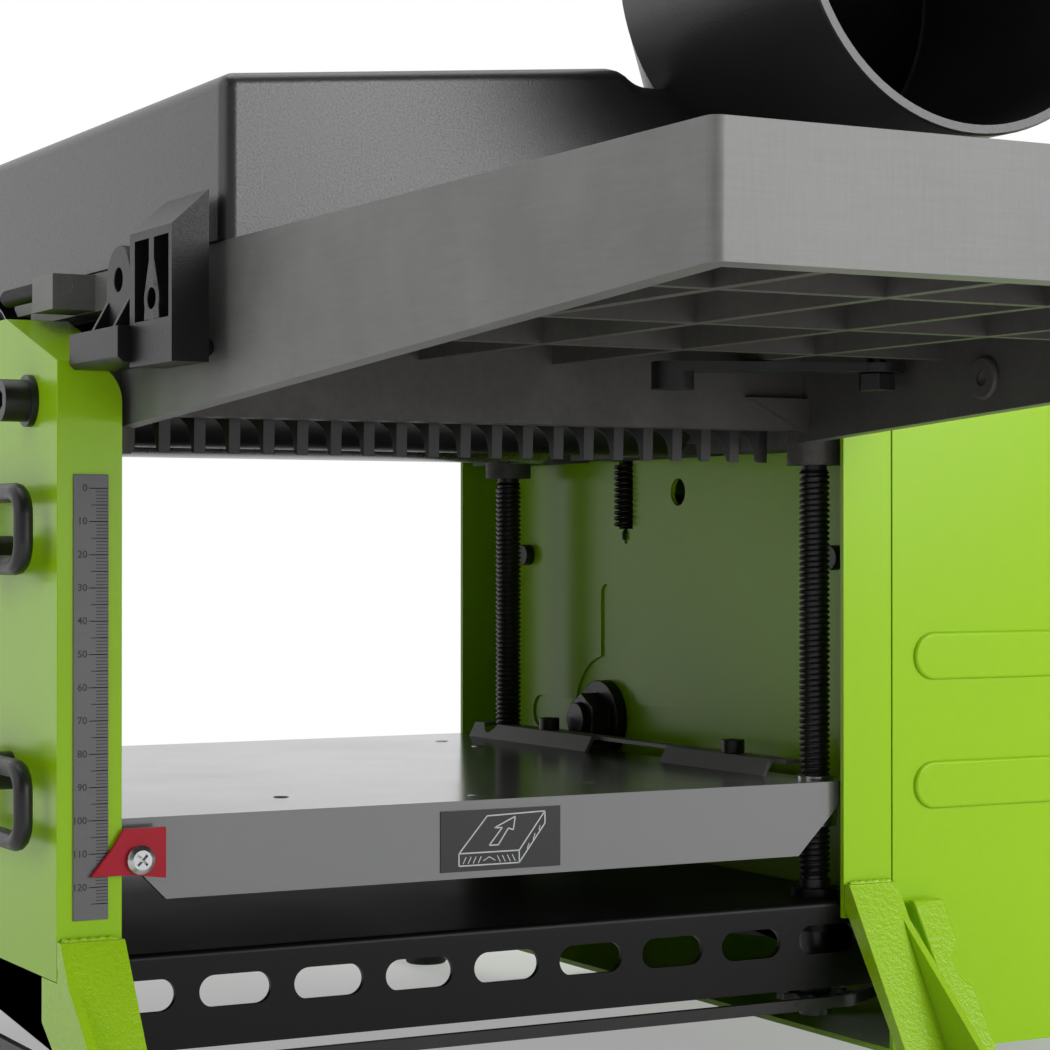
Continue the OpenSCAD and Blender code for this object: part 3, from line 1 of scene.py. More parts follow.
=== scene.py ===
import bpy, bmesh, json, math
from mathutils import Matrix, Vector


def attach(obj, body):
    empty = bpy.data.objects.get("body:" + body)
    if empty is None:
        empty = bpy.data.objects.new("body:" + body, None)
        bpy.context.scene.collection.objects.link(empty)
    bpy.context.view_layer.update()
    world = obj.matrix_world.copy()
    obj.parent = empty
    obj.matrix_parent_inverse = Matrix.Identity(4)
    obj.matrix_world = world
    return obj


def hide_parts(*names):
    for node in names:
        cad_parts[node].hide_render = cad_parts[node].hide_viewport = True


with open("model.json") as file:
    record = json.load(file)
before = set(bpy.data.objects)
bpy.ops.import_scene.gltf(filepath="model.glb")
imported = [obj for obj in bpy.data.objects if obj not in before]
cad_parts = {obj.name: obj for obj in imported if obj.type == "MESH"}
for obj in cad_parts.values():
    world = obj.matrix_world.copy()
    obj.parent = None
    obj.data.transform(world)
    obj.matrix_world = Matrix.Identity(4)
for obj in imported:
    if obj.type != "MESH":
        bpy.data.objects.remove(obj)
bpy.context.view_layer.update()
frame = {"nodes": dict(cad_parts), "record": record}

nodes = frame["nodes"]
nodeBody = {name: body for body, names in frame["record"]["behaviour"]["bodies"].items() for name in names}
nodeSlot = {part["node"]: part["material_slot"] for part in frame["record"]["subparts"]}
mm = 0.001

# Camera, where the photograph was taken from
camera = {"place": (-0.41485, -0.9183, 0.1957), "yaw": 28.6, "pitch": 0.36, "lens": 92.02, "sensor": 36}
bpy.ops.object.camera_add(location=camera["place"],
    rotation=(math.radians(90 + camera["pitch"]), 0, math.radians(-camera["yaw"])))
view = bpy.context.object
view.name = "photoCamera"
view.data.lens = camera["lens"]
view.data.sensor_width = camera["sensor"]
view.data.clip_start = 0.02
bpy.context.scene.camera = view
bpy.context.scene.view_settings.view_transform = "Standard"
print("camera set")


# Small helpers for working on one object at a time
def onlySelect(piece):
    if bpy.context.object and bpy.context.object.mode != "OBJECT":
        bpy.ops.object.mode_set(mode="OBJECT")
    bpy.ops.object.select_all(action="DESELECT")
    piece.select_set(True)
    bpy.context.view_layer.objects.active = piece


def settle(piece):
    # leaves the object at the origin, with its place in its mesh
    onlySelect(piece)
    bpy.ops.object.transform_apply(location=True, rotation=True, scale=True)


def applyAll(piece):
    onlySelect(piece)
    for modifier in list(piece.modifiers):
        bpy.ops.object.modifier_apply(modifier=modifier.name)


def joinAll(pieces, name):
    onlySelect(pieces[0])
    for piece in pieces:
        piece.select_set(True)
    if len(pieces) > 1:
        bpy.ops.object.join()
    pieces[0].name = name
    return pieces[0]


def bevelEdges(piece, width, segments=2, angle=30):
    # eases every edge that is sharper than the angle
    bevel = piece.modifiers.new("softEdge", "BEVEL")
    bevel.width = width
    bevel.segments = segments
    bevel.limit_method = "ANGLE"
    bevel.angle_limit = math.radians(angle)
    applyAll(piece)


def bevelWhere(piece, test, width, segments=4):
    # rounds only the edges whose two ends pass the test
    onlySelect(piece)
    bpy.ops.object.mode_set(mode="EDIT")
    bpy.ops.mesh.select_mode(type="EDGE")
    bpy.ops.mesh.select_all(action="DESELECT")
    mesh = bmesh.from_edit_mesh(piece.data)
    for edge in mesh.edges:
        sharp = len(edge.link_faces) == 2 and edge.calc_face_angle(0) > math.radians(25)
        if sharp and test(edge.verts[0].co, edge.verts[1].co):
            edge.select_set(True)
    bmesh.update_edit_mesh(piece.data)
    bpy.ops.mesh.bevel(offset=width, segments=segments, affect="EDGES", clamp_overlap=True)
    bpy.ops.object.mode_set(mode="OBJECT")


def cleanCopy(node, name):
    # a merged copy of a CAD node's mesh with its flat faces whole again
    piece = bpy.data.objects.new(name, nodes[node].data.copy())
    bpy.context.scene.collection.objects.link(piece)
    onlySelect(piece)
    bpy.ops.object.mode_set(mode="EDIT")
    bpy.ops.mesh.select_all(action="SELECT")
    bpy.ops.mesh.remove_doubles(threshold=0.00002)
    bpy.ops.mesh.dissolve_limited(angle_limit=math.radians(0.5))
    bpy.ops.mesh.select_all(action="DESELECT")
    bpy.ops.object.mode_set(mode="OBJECT")
    return piece


def newBlock(low, high, bevel=0.0):
    # a block between two corners, in millimetres
    bpy.ops.object.select_all(action="DESELECT")
    bpy.ops.mesh.primitive_cube_add(size=1, location=[(a * mm + b * mm) / 2 for a, b in zip(low, high)])
    piece = bpy.context.object
    piece.scale = [b * mm - a * mm for a, b in zip(low, high)]
    settle(piece)
    if bevel:
        bevelEdges(piece, bevel * mm, 3)
    return piece


def newRod(start, end, radius, sides=48):
    # a round rod between two points, in millimetres
    a, b = Vector([v * mm for v in start]), Vector([v * mm for v in end])
    bpy.ops.object.select_all(action="DESELECT")
    bpy.ops.mesh.primitive_cylinder_add(vertices=sides, radius=radius * mm, depth=(b - a).length,
        location=(a + b) / 2, rotation=(b - a).to_track_quat("Z", "Y").to_euler())
    piece = bpy.context.object
    settle(piece)
    return piece


def cutWith(piece, tool):
    cut = piece.modifiers.new("cut", "BOOLEAN")
    cut.operation = "DIFFERENCE"
    cut.solver = "EXACT"
    cut.object = tool
    applyAll(piece)
    bpy.data.objects.remove(tool)


def cleanMesh(piece):
    onlySelect(piece)
    bpy.ops.object.mode_set(mode="EDIT")
    bpy.ops.mesh.select_all(action="SELECT")
    bpy.ops.mesh.remove_doubles(threshold=0.00001)
    bpy.ops.mesh.normals_make_consistent(inside=False)
    bpy.ops.mesh.select_all(action="DESELECT")
    bpy.ops.object.mode_set(mode="OBJECT")


def shapedRing(points, filled):
    # a ring of corners laid out in millimetres
    bpy.ops.object.select_all(action="DESELECT")
    fill = "NGON" if filled else "NOTHING"
    bpy.ops.mesh.primitive_circle_add(vertices=len(points), radius=mm, fill_type=fill)
    piece = bpy.context.object
    for vertex, place in zip(piece.data.vertices, points):
        vertex.co = Vector(place) * mm
    return piece


def newPrism(outline, axis, low, high):
    # a flat outline pushed through along one axis, in millimetres
    lay = {"X": lambda u, v: (low, u, v), "Y": lambda u, v: (u, low, v), "Z": lambda u, v: (u, v, low)}[axis]
    piece = shapedRing([lay(u, v) for u, v in outline], True)
    step = [(high - low) * mm if axis == label else 0 for label in "XYZ"]
    onlySelect(piece)
    bpy.ops.object.mode_set(mode="EDIT")
    bpy.ops.mesh.select_all(action="SELECT")
    bpy.ops.mesh.extrude_region_move(TRANSFORM_OT_translate={"value": step})
    bpy.ops.object.mode_set(mode="OBJECT")
    cleanMesh(piece)
    return piece


def newLathe(profile, origin, axis, steps=48):
    # a profile of radius and height turned once round a line, in millimetres
    lay = {"X": lambda r, h: (h, r, 0), "Y": lambda r, h: (r, h, 0), "Z": lambda r, h: (r, 0, h)}[axis]
    middle = Vector(origin)
    piece = shapedRing([middle + Vector(lay(r, h)) for r, h in profile], False)
    onlySelect(piece)
    bpy.ops.object.mode_set(mode="EDIT")
    bpy.ops.mesh.select_all(action="SELECT")
    bpy.ops.mesh.spin(steps=steps, angle=2 * math.pi, center=middle * mm,
        axis=[1.0 if axis == label else 0.0 for label in "XYZ"])
    bpy.ops.object.mode_set(mode="OBJECT")
    cleanMesh(piece)
    return piece


def newTube(points, radius, closed=False, sides=3):
    # a round wire along a line of points, in millimetres
    wire = bpy.data.curves.new("wire", "CURVE")
    wire.dimensions = "3D"
    wire.bevel_depth = radius * mm
    wire.bevel_resolution = sides
    wire.use_fill_caps = True
    line = wire.splines.new("POLY")
    line.points.add(len(points) - 1)
    for point, place in zip(line.points, points):
        point.co = (*(Vector(place) * mm), 1)
    line.use_cyclic_u = closed
    piece = bpy.data.objects.new("wire", wire)
    bpy.context.scene.collection.objects.link(piece)
    onlySelect(piece)
    bpy.ops.object.convert(target="MESH")
    return bpy.context.object


def newThread(start, axis, length, radius, depth, pitch):
    # a helical thread with its core, in millimetres
    lay = {"Y": lambda r, h: (r, h, 0), "Z": lambda r, h: (r, 0, h)}[axis]
    shape = [(radius - depth, 0), (radius, pitch * 0.38), (radius, pitch * 0.62), (radius - depth, pitch)]
    thread = shapedRing([lay(r, h) for r, h in shape], False)
    onlySelect(thread)
    bpy.ops.object.mode_set(mode="EDIT")
    bpy.ops.mesh.select_mode(type="EDGE")
    bpy.ops.mesh.select_all(action="DESELECT")
    mesh = bmesh.from_edit_mesh(thread.data)
    for edge in mesh.edges:
        if abs((edge.verts[0].co - edge.verts[1].co).length - pitch * mm) < 1e-7:
            edge.select_set(True)
    bmesh.update_edit_mesh(thread.data)
    bpy.ops.mesh.delete(type="EDGE")
    bpy.ops.object.mode_set(mode="OBJECT")
    screw = thread.modifiers.new("turns", "SCREW")
    screw.axis = axis
    screw.screw_offset = pitch * mm
    screw.iterations = int(length / pitch) - 1
    screw.steps = screw.render_steps = 28
    applyAll(thread)
    thread.location = Vector(start) * mm
    settle(thread)
    cleanMesh(thread)
    end = Vector(start) + Vector(lay(0, length))
    core = newRod(start, end, radius - depth * 0.95, 28)
    return joinAll([thread, core], "thread")


def bisectAt(piece, place, normal):
    # keeps the side that the normal points to
    onlySelect(piece)
    bpy.ops.object.mode_set(mode="EDIT")
    bpy.ops.mesh.select_all(action="SELECT")
    bpy.ops.mesh.bisect(plane_co=Vector(place) * mm, plane_no=normal, use_fill=True, clear_inner=True)
    bpy.ops.object.mode_set(mode="OBJECT")


def finishNode(piece, node, label="Detail", angle=35, finish=None, replace=True):
    # shades the piece, coats it, and has it move with its node
    settle(piece)
    bpy.ops.object.shade_smooth_by_angle(angle=math.radians(angle))
    weighted = piece.modifiers.new("evenShade", "WEIGHTED_NORMAL")
    weighted.keep_sharp = True
    applyAll(piece)
    piece.name = piece.data.name = node + label
    piece.data.materials.clear()
    piece.data.materials.append(finish or nodeFinish[node])
    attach(piece, nodeBody[node])
    if replace:
        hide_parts(node)


def near(value, target, within=0.15):
    return abs(value - target) < within * mm


# Shader effects shared by several finishes
def newGroup(name, inputs, outputs):
    group = bpy.data.node_groups.new(name, "ShaderNodeTree")
    for label, kind, value in inputs:
        socket = group.interface.new_socket(label, in_out="INPUT", socket_type=kind)
        socket.default_value = value
    for label, kind in outputs:
        group.interface.new_socket(label, in_out="OUTPUT", socket_type=kind)
    return group, group.nodes.new("NodeGroupInput"), group.nodes.new("NodeGroupOutput")


def objectNoise(tree, scale, detail=3.0, rough=0.55, stretch=(1, 1, 1), turn=(0, 0, 0)):
    place = tree.nodes.new("ShaderNodeTexCoord")
    mapping = tree.nodes.new("ShaderNodeMapping")
    mapping.inputs["Scale"].default_value = stretch
    mapping.inputs["Rotation"].default_value = [math.radians(a) for a in turn]
    noise = tree.nodes.new("ShaderNodeTexNoise")
    noise.inputs["Scale"].default_value = scale
    noise.inputs["Detail"].default_value = detail
    noise.inputs["Roughness"].default_value = rough
    tree.links.new(place.outputs["Object"], mapping.inputs["Vector"])
    tree.links.new(mapping.outputs["Vector"], noise.inputs["Vector"])
    return noise.outputs["Fac"]


def mapRange(tree, value, low, high, toLow=0.0, toHigh=1.0):
    node = tree.nodes.new("ShaderNodeMapRange")
    tree.links.new(value, node.inputs["Value"])
    for label, number in (("From Min", low), ("From Max", high), ("To Min", toLow), ("To Max", toHigh)):
        node.inputs[label].default_value = number
    return node.outputs["Result"]


def mathNode(tree, operation, a, b):
    node = tree.nodes.new("ShaderNodeMath")
    node.operation = operation
    for socket, value in zip(node.inputs, (a, b)):
        if isinstance(value, (int, float)):
            socket.default_value = value
        else:
            tree.links.new(value, socket)
    return node.outputs[0]


def mixColour(tree, factor, a, b):
    node = tree.nodes.new("ShaderNodeMix")
    node.data_type = "RGBA"
    for socket, value in ((node.inputs[0], factor), (node.inputs[6], a), (node.inputs[7], b)):
        if isinstance(value, (int, float)):
            socket.default_value = value
        elif isinstance(value, (tuple, list)):
            socket.default_value = (*value[:3], 1)
        else:
            tree.links.new(value, socket)
    return node.outputs[2]


def makeCoatGroup():
    # a sprayed coat: orange peel, faint colour drift and settled dust
    group, start, end = newGroup("sprayedCoat", [("Colour", "NodeSocketColor", (0.5, 0.5, 0.5, 1)),
        ("Dust Colour", "NodeSocketColor", (0.6, 0.6, 0.55, 1)), ("Dust", "NodeSocketFloat", 0.1),
        ("Drift", "NodeSocketFloat", 0.06), ("Low Gloss", "NodeSocketFloat", 0.2),
        ("High Gloss", "NodeSocketFloat", 0.35)],
        [("Colour", "NodeSocketColor"), ("Roughness", "NodeSocketFloat"), ("Height", "NodeSocketFloat")])
    wide = objectNoise(group, 14, 3)
    peel = objectNoise(group, 480, 2)
    fine = objectNoise(group, 2600, 1)
    darker = mathNode(group, "SUBTRACT", 1.0, mathNode(group, "MULTIPLY", wide, start.outputs["Drift"]))
    tone = group.nodes.new("ShaderNodeVectorMath")
    tone.operation = "SCALE"
    group.links.new(start.outputs["Colour"], tone.inputs[0])
    group.links.new(darker, tone.inputs["Scale"])
    mask = mathNode(group, "MULTIPLY", mapRange(group, wide, 0.45, 0.8), start.outputs["Dust"])
    dusty = mixColour(group, mask, tone.outputs[0], start.outputs["Dust Colour"])
    group.links.new(dusty, end.inputs["Colour"])
    gloss = group.nodes.new("ShaderNodeMix")
    group.links.new(wide, gloss.inputs[0])
    group.links.new(start.outputs["Low Gloss"], gloss.inputs[2])
    group.links.new(start.outputs["High Gloss"], gloss.inputs[3])
    group.links.new(gloss.outputs[0], end.inputs["Roughness"])
    relief = mathNode(group, "ADD", peel, mathNode(group, "MULTIPLY", fine, 0.35))
    group.links.new(relief, end.inputs["Height"])
    return group


def makeScratchGroup():
    # sanding and machining marks that run one way, over a mottled metal
    group, start, end = newGroup("metalMarks", [("Colour", "NodeSocketColor", (0.4, 0.4, 0.4, 1)),
        ("Mottle", "NodeSocketFloat", 0.25), ("Low Gloss", "NodeSocketFloat", 0.3),
        ("High Gloss", "NodeSocketFloat", 0.5)],
        [("Colour", "NodeSocketColor"), ("Roughness", "NodeSocketFloat"), ("Height", "NodeSocketFloat")])
    cloud = objectNoise(group, 22, 5, 0.62)
    long = objectNoise(group, 60, 3, 0.6, (1, 1, 14))
    slant = objectNoise(group, 60, 3, 0.6, (14, 1, 1.2), (12, 34, 20))
    lines = mathNode(group, "MULTIPLY", mathNode(group, "ADD", long, slant), 0.5)
    shade = mathNode(group, "ADD", mathNode(group, "MULTIPLY", cloud, 0.6),
        mathNode(group, "MULTIPLY", lines, 0.4))
    dull = mathNode(group, "MULTIPLY", mapRange(group, shade, 0.62, 0.38), start.outputs["Mottle"])
    factor = mathNode(group, "SUBTRACT", 1.0, dull)
    tone = group.nodes.new("ShaderNodeVectorMath")
    tone.operation = "SCALE"
    group.links.new(start.outputs["Colour"], tone.inputs[0])
    group.links.new(factor, tone.inputs["Scale"])
    group.links.new(tone.outputs[0], end.inputs["Colour"])
    gloss = group.nodes.new("ShaderNodeMix")
    group.links.new(mapRange(group, shade, 0.35, 0.65), gloss.inputs[0])
    group.links.new(start.outputs["Low Gloss"], gloss.inputs[2])
    group.links.new(start.outputs["High Gloss"], gloss.inputs[3])
    group.links.new(gloss.outputs[0], end.inputs["Roughness"])
    group.links.new(lines, end.inputs["Height"])
    return group


def makeGrainGroup():
    # spark-eroded mould grain, or the skin of a sand casting
    group, start, end = newGroup("mouldGrain", [("Colour", "NodeSocketColor", (0.02, 0.02, 0.02, 1)),
        ("Pale Colour", "NodeSocketColor", (0.05, 0.05, 0.05, 1)), ("Pale", "NodeSocketFloat", 0.3),
        ("Size", "NodeSocketFloat", 1500.0), ("Low Gloss", "NodeSocketFloat", 0.35),
        ("High Gloss", "NodeSocketFloat", 0.5)],
        [("Colour", "NodeSocketColor"), ("Roughness", "NodeSocketFloat"), ("Height", "NodeSocketFloat")])
    place = group.nodes.new("ShaderNodeTexCoord")
    grain = group.nodes.new("ShaderNodeTexNoise")
    grain.inputs["Detail"].default_value = 3
    group.links.new(place.outputs["Object"], grain.inputs["Vector"])
    group.links.new(start.outputs["Size"], grain.inputs["Scale"])
    wide = objectNoise(group, 30, 4)
    mask = mathNode(group, "MULTIPLY", mapRange(group, wide, 0.42, 0.72), start.outputs["Pale"])
    mottled = mixColour(group, mask, start.outputs["Colour"], start.outputs["Pale Colour"])
    group.links.new(mottled, end.inputs["Colour"])
    gloss = group.nodes.new("ShaderNodeMix")
    group.links.new(mapRange(group, grain.outputs["Fac"], 0.3, 0.7), gloss.inputs[0])
    group.links.new(start.outputs["Low Gloss"], gloss.inputs[2])
    group.links.new(start.outputs["High Gloss"], gloss.inputs[3])
    group.links.new(gloss.outputs[0], end.inputs["Roughness"])
    group.links.new(grain.outputs["Fac"], end.inputs["Height"])
    return group


coatGroup, marksGroup, grainGroup = makeCoatGroup(), makeScratchGroup(), makeGrainGroup()


def makeFinish(name, group, values, metallic=0.0, bump=0.1, bumpSize=0.0002, specular=0.5):
    finish = bpy.data.materials.new(name)
    finish.use_nodes = True
    tree = finish.node_tree
    shader = tree.nodes["Principled BSDF"]
    effect = tree.nodes.new("ShaderNodeGroup")
    effect.node_tree = group
    for label, value in values.items():
        effect.inputs[label].default_value = (*value, 1) if isinstance(value, tuple) else value
    tree.links.new(effect.outputs["Colour"], shader.inputs["Base Color"])
    tree.links.new(effect.outputs["Roughness"], shader.inputs["Roughness"])
    relief = tree.nodes.new("ShaderNodeBump")
    relief.inputs["Strength"].default_value = bump
    relief.inputs["Distance"].default_value = bumpSize
    tree.links.new(effect.outputs["Height"], relief.inputs["Height"])
    tree.links.new(relief.outputs["Normal"], shader.inputs["Normal"])
    shader.inputs["Metallic"].default_value = metallic
    shader.inputs["Specular IOR Level"].default_value = specular
    finish.diffuse_color = (*values["Colour"], 1)
    return finish


def sprayed(colour, dustColour, dust, drift, lowGloss, highGloss):
    return {"Colour": colour, "Dust Colour": dustColour, "Dust": dust, "Drift": drift,
        "Low Gloss": lowGloss, "High Gloss": highGloss}


def machined(colour, mottle, lowGloss, highGloss):
    return {"Colour": colour, "Mottle": mottle, "Low Gloss": lowGloss, "High Gloss": highGloss}


def grained(colour, paleColour, pale, size, lowGloss, highGloss):
    return {"Colour": colour, "Pale Colour": paleColour, "Pale": pale, "Size": size,
        "Low Gloss": lowGloss, "High Gloss": highGloss}


# Sprayed finishes
greenPaint = makeFinish("greenPaint", coatGroup, sprayed((0.31, 0.575, 0.004), (0.4, 0.6, 0.08), 0.0, 0.06,
    0.2, 0.28), bump=0.08, specular=0.28)
roughGreen = makeFinish("roughGreen", coatGroup, sprayed((0.33, 0.585, 0.006), (0.4, 0.6, 0.08), 0.05, 0.06,
    0.2, 0.3), bump=0.55, bumpSize=0.0005)
blackCoat = makeFinish("blackCoat", coatGroup, sprayed((0.002, 0.002, 0.0022), (0.008, 0.008, 0.008),
    0.12, 0.1, 0.32, 0.45), bump=0.2, specular=0.2)
greyCoat = makeFinish("greyCoat", coatGroup, sprayed((0.21, 0.21, 0.212), (0.25, 0.25, 0.24), 0.12, 0.08,
    0.13, 0.2), metallic=0.45, bump=0.1)
redPaint = makeFinish("redPaint", coatGroup, sprayed((0.42, 0.003, 0.02), (0.5, 0.05, 0.05), 0.03, 0.08,
    0.25, 0.35), bump=0.1, specular=0.25)
motorGrey = makeFinish("motorGrey", coatGroup, sprayed((0.2, 0.2, 0.21), (0.3, 0.28, 0.24), 0.4, 0.12,
    0.4, 0.5), bump=0.2)

# Bare and rolled metals
castAlloy = makeFinish("castAlloy", marksGroup, machined((0.212, 0.212, 0.208), 0.3, 0.45, 0.58),
    metallic=0.35, bump=0.3)
groundSteel = makeFinish("groundSteel", marksGroup, machined((0.55, 0.55, 0.56), 0.2, 0.22, 0.36),
    metallic=1.0, bump=0.15)
guardSteel = makeFinish("guardSteel", marksGroup, machined((0.2, 0.2, 0.2), 0.2, 0.4, 0.52),
    metallic=0.1, bump=0.15)
fingerSteel = makeFinish("fingerSteel", marksGroup, machined((0.05, 0.05, 0.05), 0.4, 0.38, 0.5),
    metallic=0.6, bump=0.2)
plateGrey = makeFinish("plateGrey", marksGroup, machined((0.125, 0.125, 0.13), 0.12, 0.35, 0.45),
    metallic=0.3, bump=0.08)

# Castings, blackened steel, mouldings, rubber and ink
castRough = makeFinish("castRough", grainGroup, grained((0.085, 0.08, 0.074), (0.14, 0.133, 0.12), 0.6, 420.0,
    0.5, 0.72), metallic=0.3, bump=0.55, bumpSize=0.0006)
blackSteel = makeFinish("blackSteel", grainGroup, grained((0.007, 0.007, 0.0075), (0.03, 0.03, 0.03),
    0.35, 900.0, 0.3, 0.45), metallic=0.1, bump=0.15)
latchPlastic = makeFinish("latchPlastic", grainGroup, grained((0.008, 0.008, 0.0085), (0.014, 0.014, 0.014),
    0.25, 1900.0, 0.3, 0.42), bump=0.2, specular=0.3)
hoodPlastic = makeFinish("hoodPlastic", grainGroup, grained((0.016, 0.016, 0.0165), (0.026, 0.026, 0.026),
    0.3, 1500.0, 0.3, 0.4), bump=0.25, specular=0.8)
smoothPlastic = makeFinish("smoothPlastic", grainGroup, grained((0.005, 0.005, 0.0052), (0.012, 0.012, 0.012),
    0.2, 2500.0, 0.3, 0.4), bump=0.12)
greenPlastic = makeFinish("greenPlastic", grainGroup, grained((0.01, 0.28, 0.05), (0.03, 0.34, 0.08),
    0.3, 1800.0, 0.22, 0.32), bump=0.08)
redPlastic = makeFinish("redPlastic", grainGroup, grained((0.5, 0.008, 0.015), (0.55, 0.03, 0.03),
    0.3, 1800.0, 0.22, 0.32), bump=0.08)
rubberFinish = makeFinish("rubberFinish", grainGroup, grained((0.02, 0.02, 0.02), (0.06, 0.06, 0.058),
    0.4, 700.0, 0.7, 0.85), bump=0.3)
labelBlack = makeFinish("labelBlack", grainGroup, grained((0.008, 0.008, 0.009), (0.014, 0.014, 0.014),
    0.3, 1200.0, 0.3, 0.38), bump=0.05)
labelWhite = makeFinish("labelWhite", grainGroup, grained((0.55, 0.56, 0.57), (0.6, 0.6, 0.6),
    0.3, 1200.0, 0.4, 0.5), bump=0.03)
inkDark = makeFinish("inkDark", grainGroup, grained((0.01, 0.01, 0.011), (0.02, 0.02, 0.02),
    0.3, 1200.0, 0.4, 0.5), bump=0.03)
betweenAprons = {"x": 0.1243, "y": 0.4672, "z": 0.2722}


def makeTableFinish():
    # sanded outside, and rough as cast between the aprons
    finish = castAlloy.copy()
    finish.name = "castTable"
    tree = finish.node_tree
    shader, relief = tree.nodes["Principled BSDF"], tree.nodes["Bump"]
    sanded = tree.nodes["Group"]
    rough = tree.nodes.new("ShaderNodeGroup")
    rough.node_tree = grainGroup
    skin = grained((0.075, 0.071, 0.066, 1), (0.12, 0.115, 0.105, 1), 0.6, 420.0, 0.5, 0.7)
    for label, value in skin.items():
        rough.inputs[label].default_value = value
    place = tree.nodes.new("ShaderNodeTexCoord")
    split = tree.nodes.new("ShaderNodeSeparateXYZ")
    tree.links.new(place.outputs["Object"], split.inputs[0])
    across = mathNode(tree, "ABSOLUTE", split.outputs["X"], 0)
    along = mathNode(tree, "ABSOLUTE", split.outputs["Y"], 0)
    inX = mathNode(tree, "LESS_THAN", across, betweenAprons["x"])
    inY = mathNode(tree, "LESS_THAN", along, betweenAprons["y"])
    inZ = mathNode(tree, "LESS_THAN", split.outputs["Z"], betweenAprons["z"])
    inside = mathNode(tree, "MULTIPLY", inX, mathNode(tree, "MULTIPLY", inY, inZ))
    both = mixColour(tree, inside, sanded.outputs["Colour"], rough.outputs["Colour"])
    tree.links.new(both, shader.inputs["Base Color"])
    for label, socket in (("Roughness", shader.inputs["Roughness"]), ("Height", relief.inputs["Height"])):
        blend = tree.nodes.new("ShaderNodeMix")
        tree.links.new(inside, blend.inputs[0])
        tree.links.new(sanded.outputs[label], blend.inputs[2])
        tree.links.new(rough.outputs[label], blend.inputs[3])
        tree.links.new(blend.outputs[0], socket)
    return finish


castTable = makeTableFinish()
slotFinish = {"green_paint": greenPaint, "black_paint": blackCoat, "cast_alloy": castAlloy,
    "bright_steel": groundSteel, "table_steel": greyCoat, "black_plastic": smoothPlastic,
    "black_steel": blackSteel, "rubber": rubberFinish, "red_paint": redPaint, "scale_grey": plateGrey,
    "motor_grey": motorGrey, "green_plastic": greenPlastic, "red_plastic": redPlastic}
nodeFinish = {name: slotFinish[slot] for name, slot in nodeSlot.items()}
nodeFinish.update({"infeed_table": castTable, "outfeed_table": castTable, "head_casting": castRough,
    "kickback_fingers": fingerSteel, "kickback_rod": blackSteel, "infeed_roller": blackSteel,
    "chip_hood": hoodPlastic, "legs": roughGreen, "width_guards": guardSteel,
    "left_latch": latchPlastic, "right_latch": latchPlastic})
for name, node in nodes.items():
    node.data.materials.clear()
    node.data.materials.append(nodeFinish[name])
print("finishes made")

# Side frames: pressed sheet with rounded bends, and a stamped recess in the web
sheet = {"outer": 153.5, "inner": 151.5, "outerBend": 3.0, "innerBend": 1.2, "front": 146.5, "top": 266,
    "slopeFrom": 96.5, "slope": 0.32, "bottom": 64, "edge": 0.3}
recess = {"face": 151.5, "depth": 1.1, "halfWidth": 120, "low": 70, "high": 190, "bend": 0.45}


def onBend(vertex, face, inset):
    # true for a corner on the bend between the web and its flanges
    drop = max(0, abs(vertex.y) / mm - sheet["slopeFrom"]) * sheet["slope"]
    onSlope = near(vertex.z, (sheet["top"] - inset - drop) * mm, 0.9)
    onFront = near(abs(vertex.y), (sheet["front"] - inset) * mm)
    return near(abs(vertex.x), face * mm) and (onFront or onSlope)


def onRecess(a, b):
    onFace = near(max(abs(a.x), abs(b.x)), recess["face"] * mm, recess["depth"])
    inSpan = max(abs(a.y), abs(b.y)) < recess["halfWidth"] * mm
    return onFace and inSpan and recess["low"] * mm < min(a.z, b.z) and max(a.z, b.z) < recess["high"] * mm


for name in ("left_side_frame", "right_side_frame"):
    piece = cleanCopy(name, name)
    for face, inset, width in ((sheet["outer"], 0, sheet["outerBend"]),
            (sheet["inner"], sheet["outer"] - sheet["inner"], sheet["innerBend"])):
        bevelWhere(piece, lambda a, b: onBend(a, face, inset) and onBend(b, face, inset)
            and max(a.z, b.z) > (sheet["bottom"] + 1) * mm, width * mm)
    bevelWhere(piece, onRecess, recess["bend"] * mm, 3)
    bevelEdges(piece, sheet["edge"] * mm, 2, 50)
    finishNode(piece, name)
print("frames pressed")

# Drive housing, rounded along its front and its outer side
housing = {"front": -146.8, "outer": 293.5, "endsFrom": 140, "roofFrom": 250, "frontRound": 1.3,
    "sideRound": 2.0, "edge": 0.4}
piece = cleanCopy("drive_housing", "housing")
bevelWhere(piece, lambda a, b: max(a.y, b.y) < housing["front"] * mm, housing["frontRound"] * mm)
bevelWhere(piece, lambda a, b: near(a.x, housing["outer"] * mm, 0.3) and near(b.x, housing["outer"] * mm, 0.3)
    and (max(abs(a.y), abs(b.y)) > housing["endsFrom"] * mm or min(a.z, b.z) > housing["roofFrom"] * mm),
    housing["sideRound"] * mm)
bevelEdges(piece, housing["edge"] * mm, 2, 50)
finishNode(piece, "drive_housing")

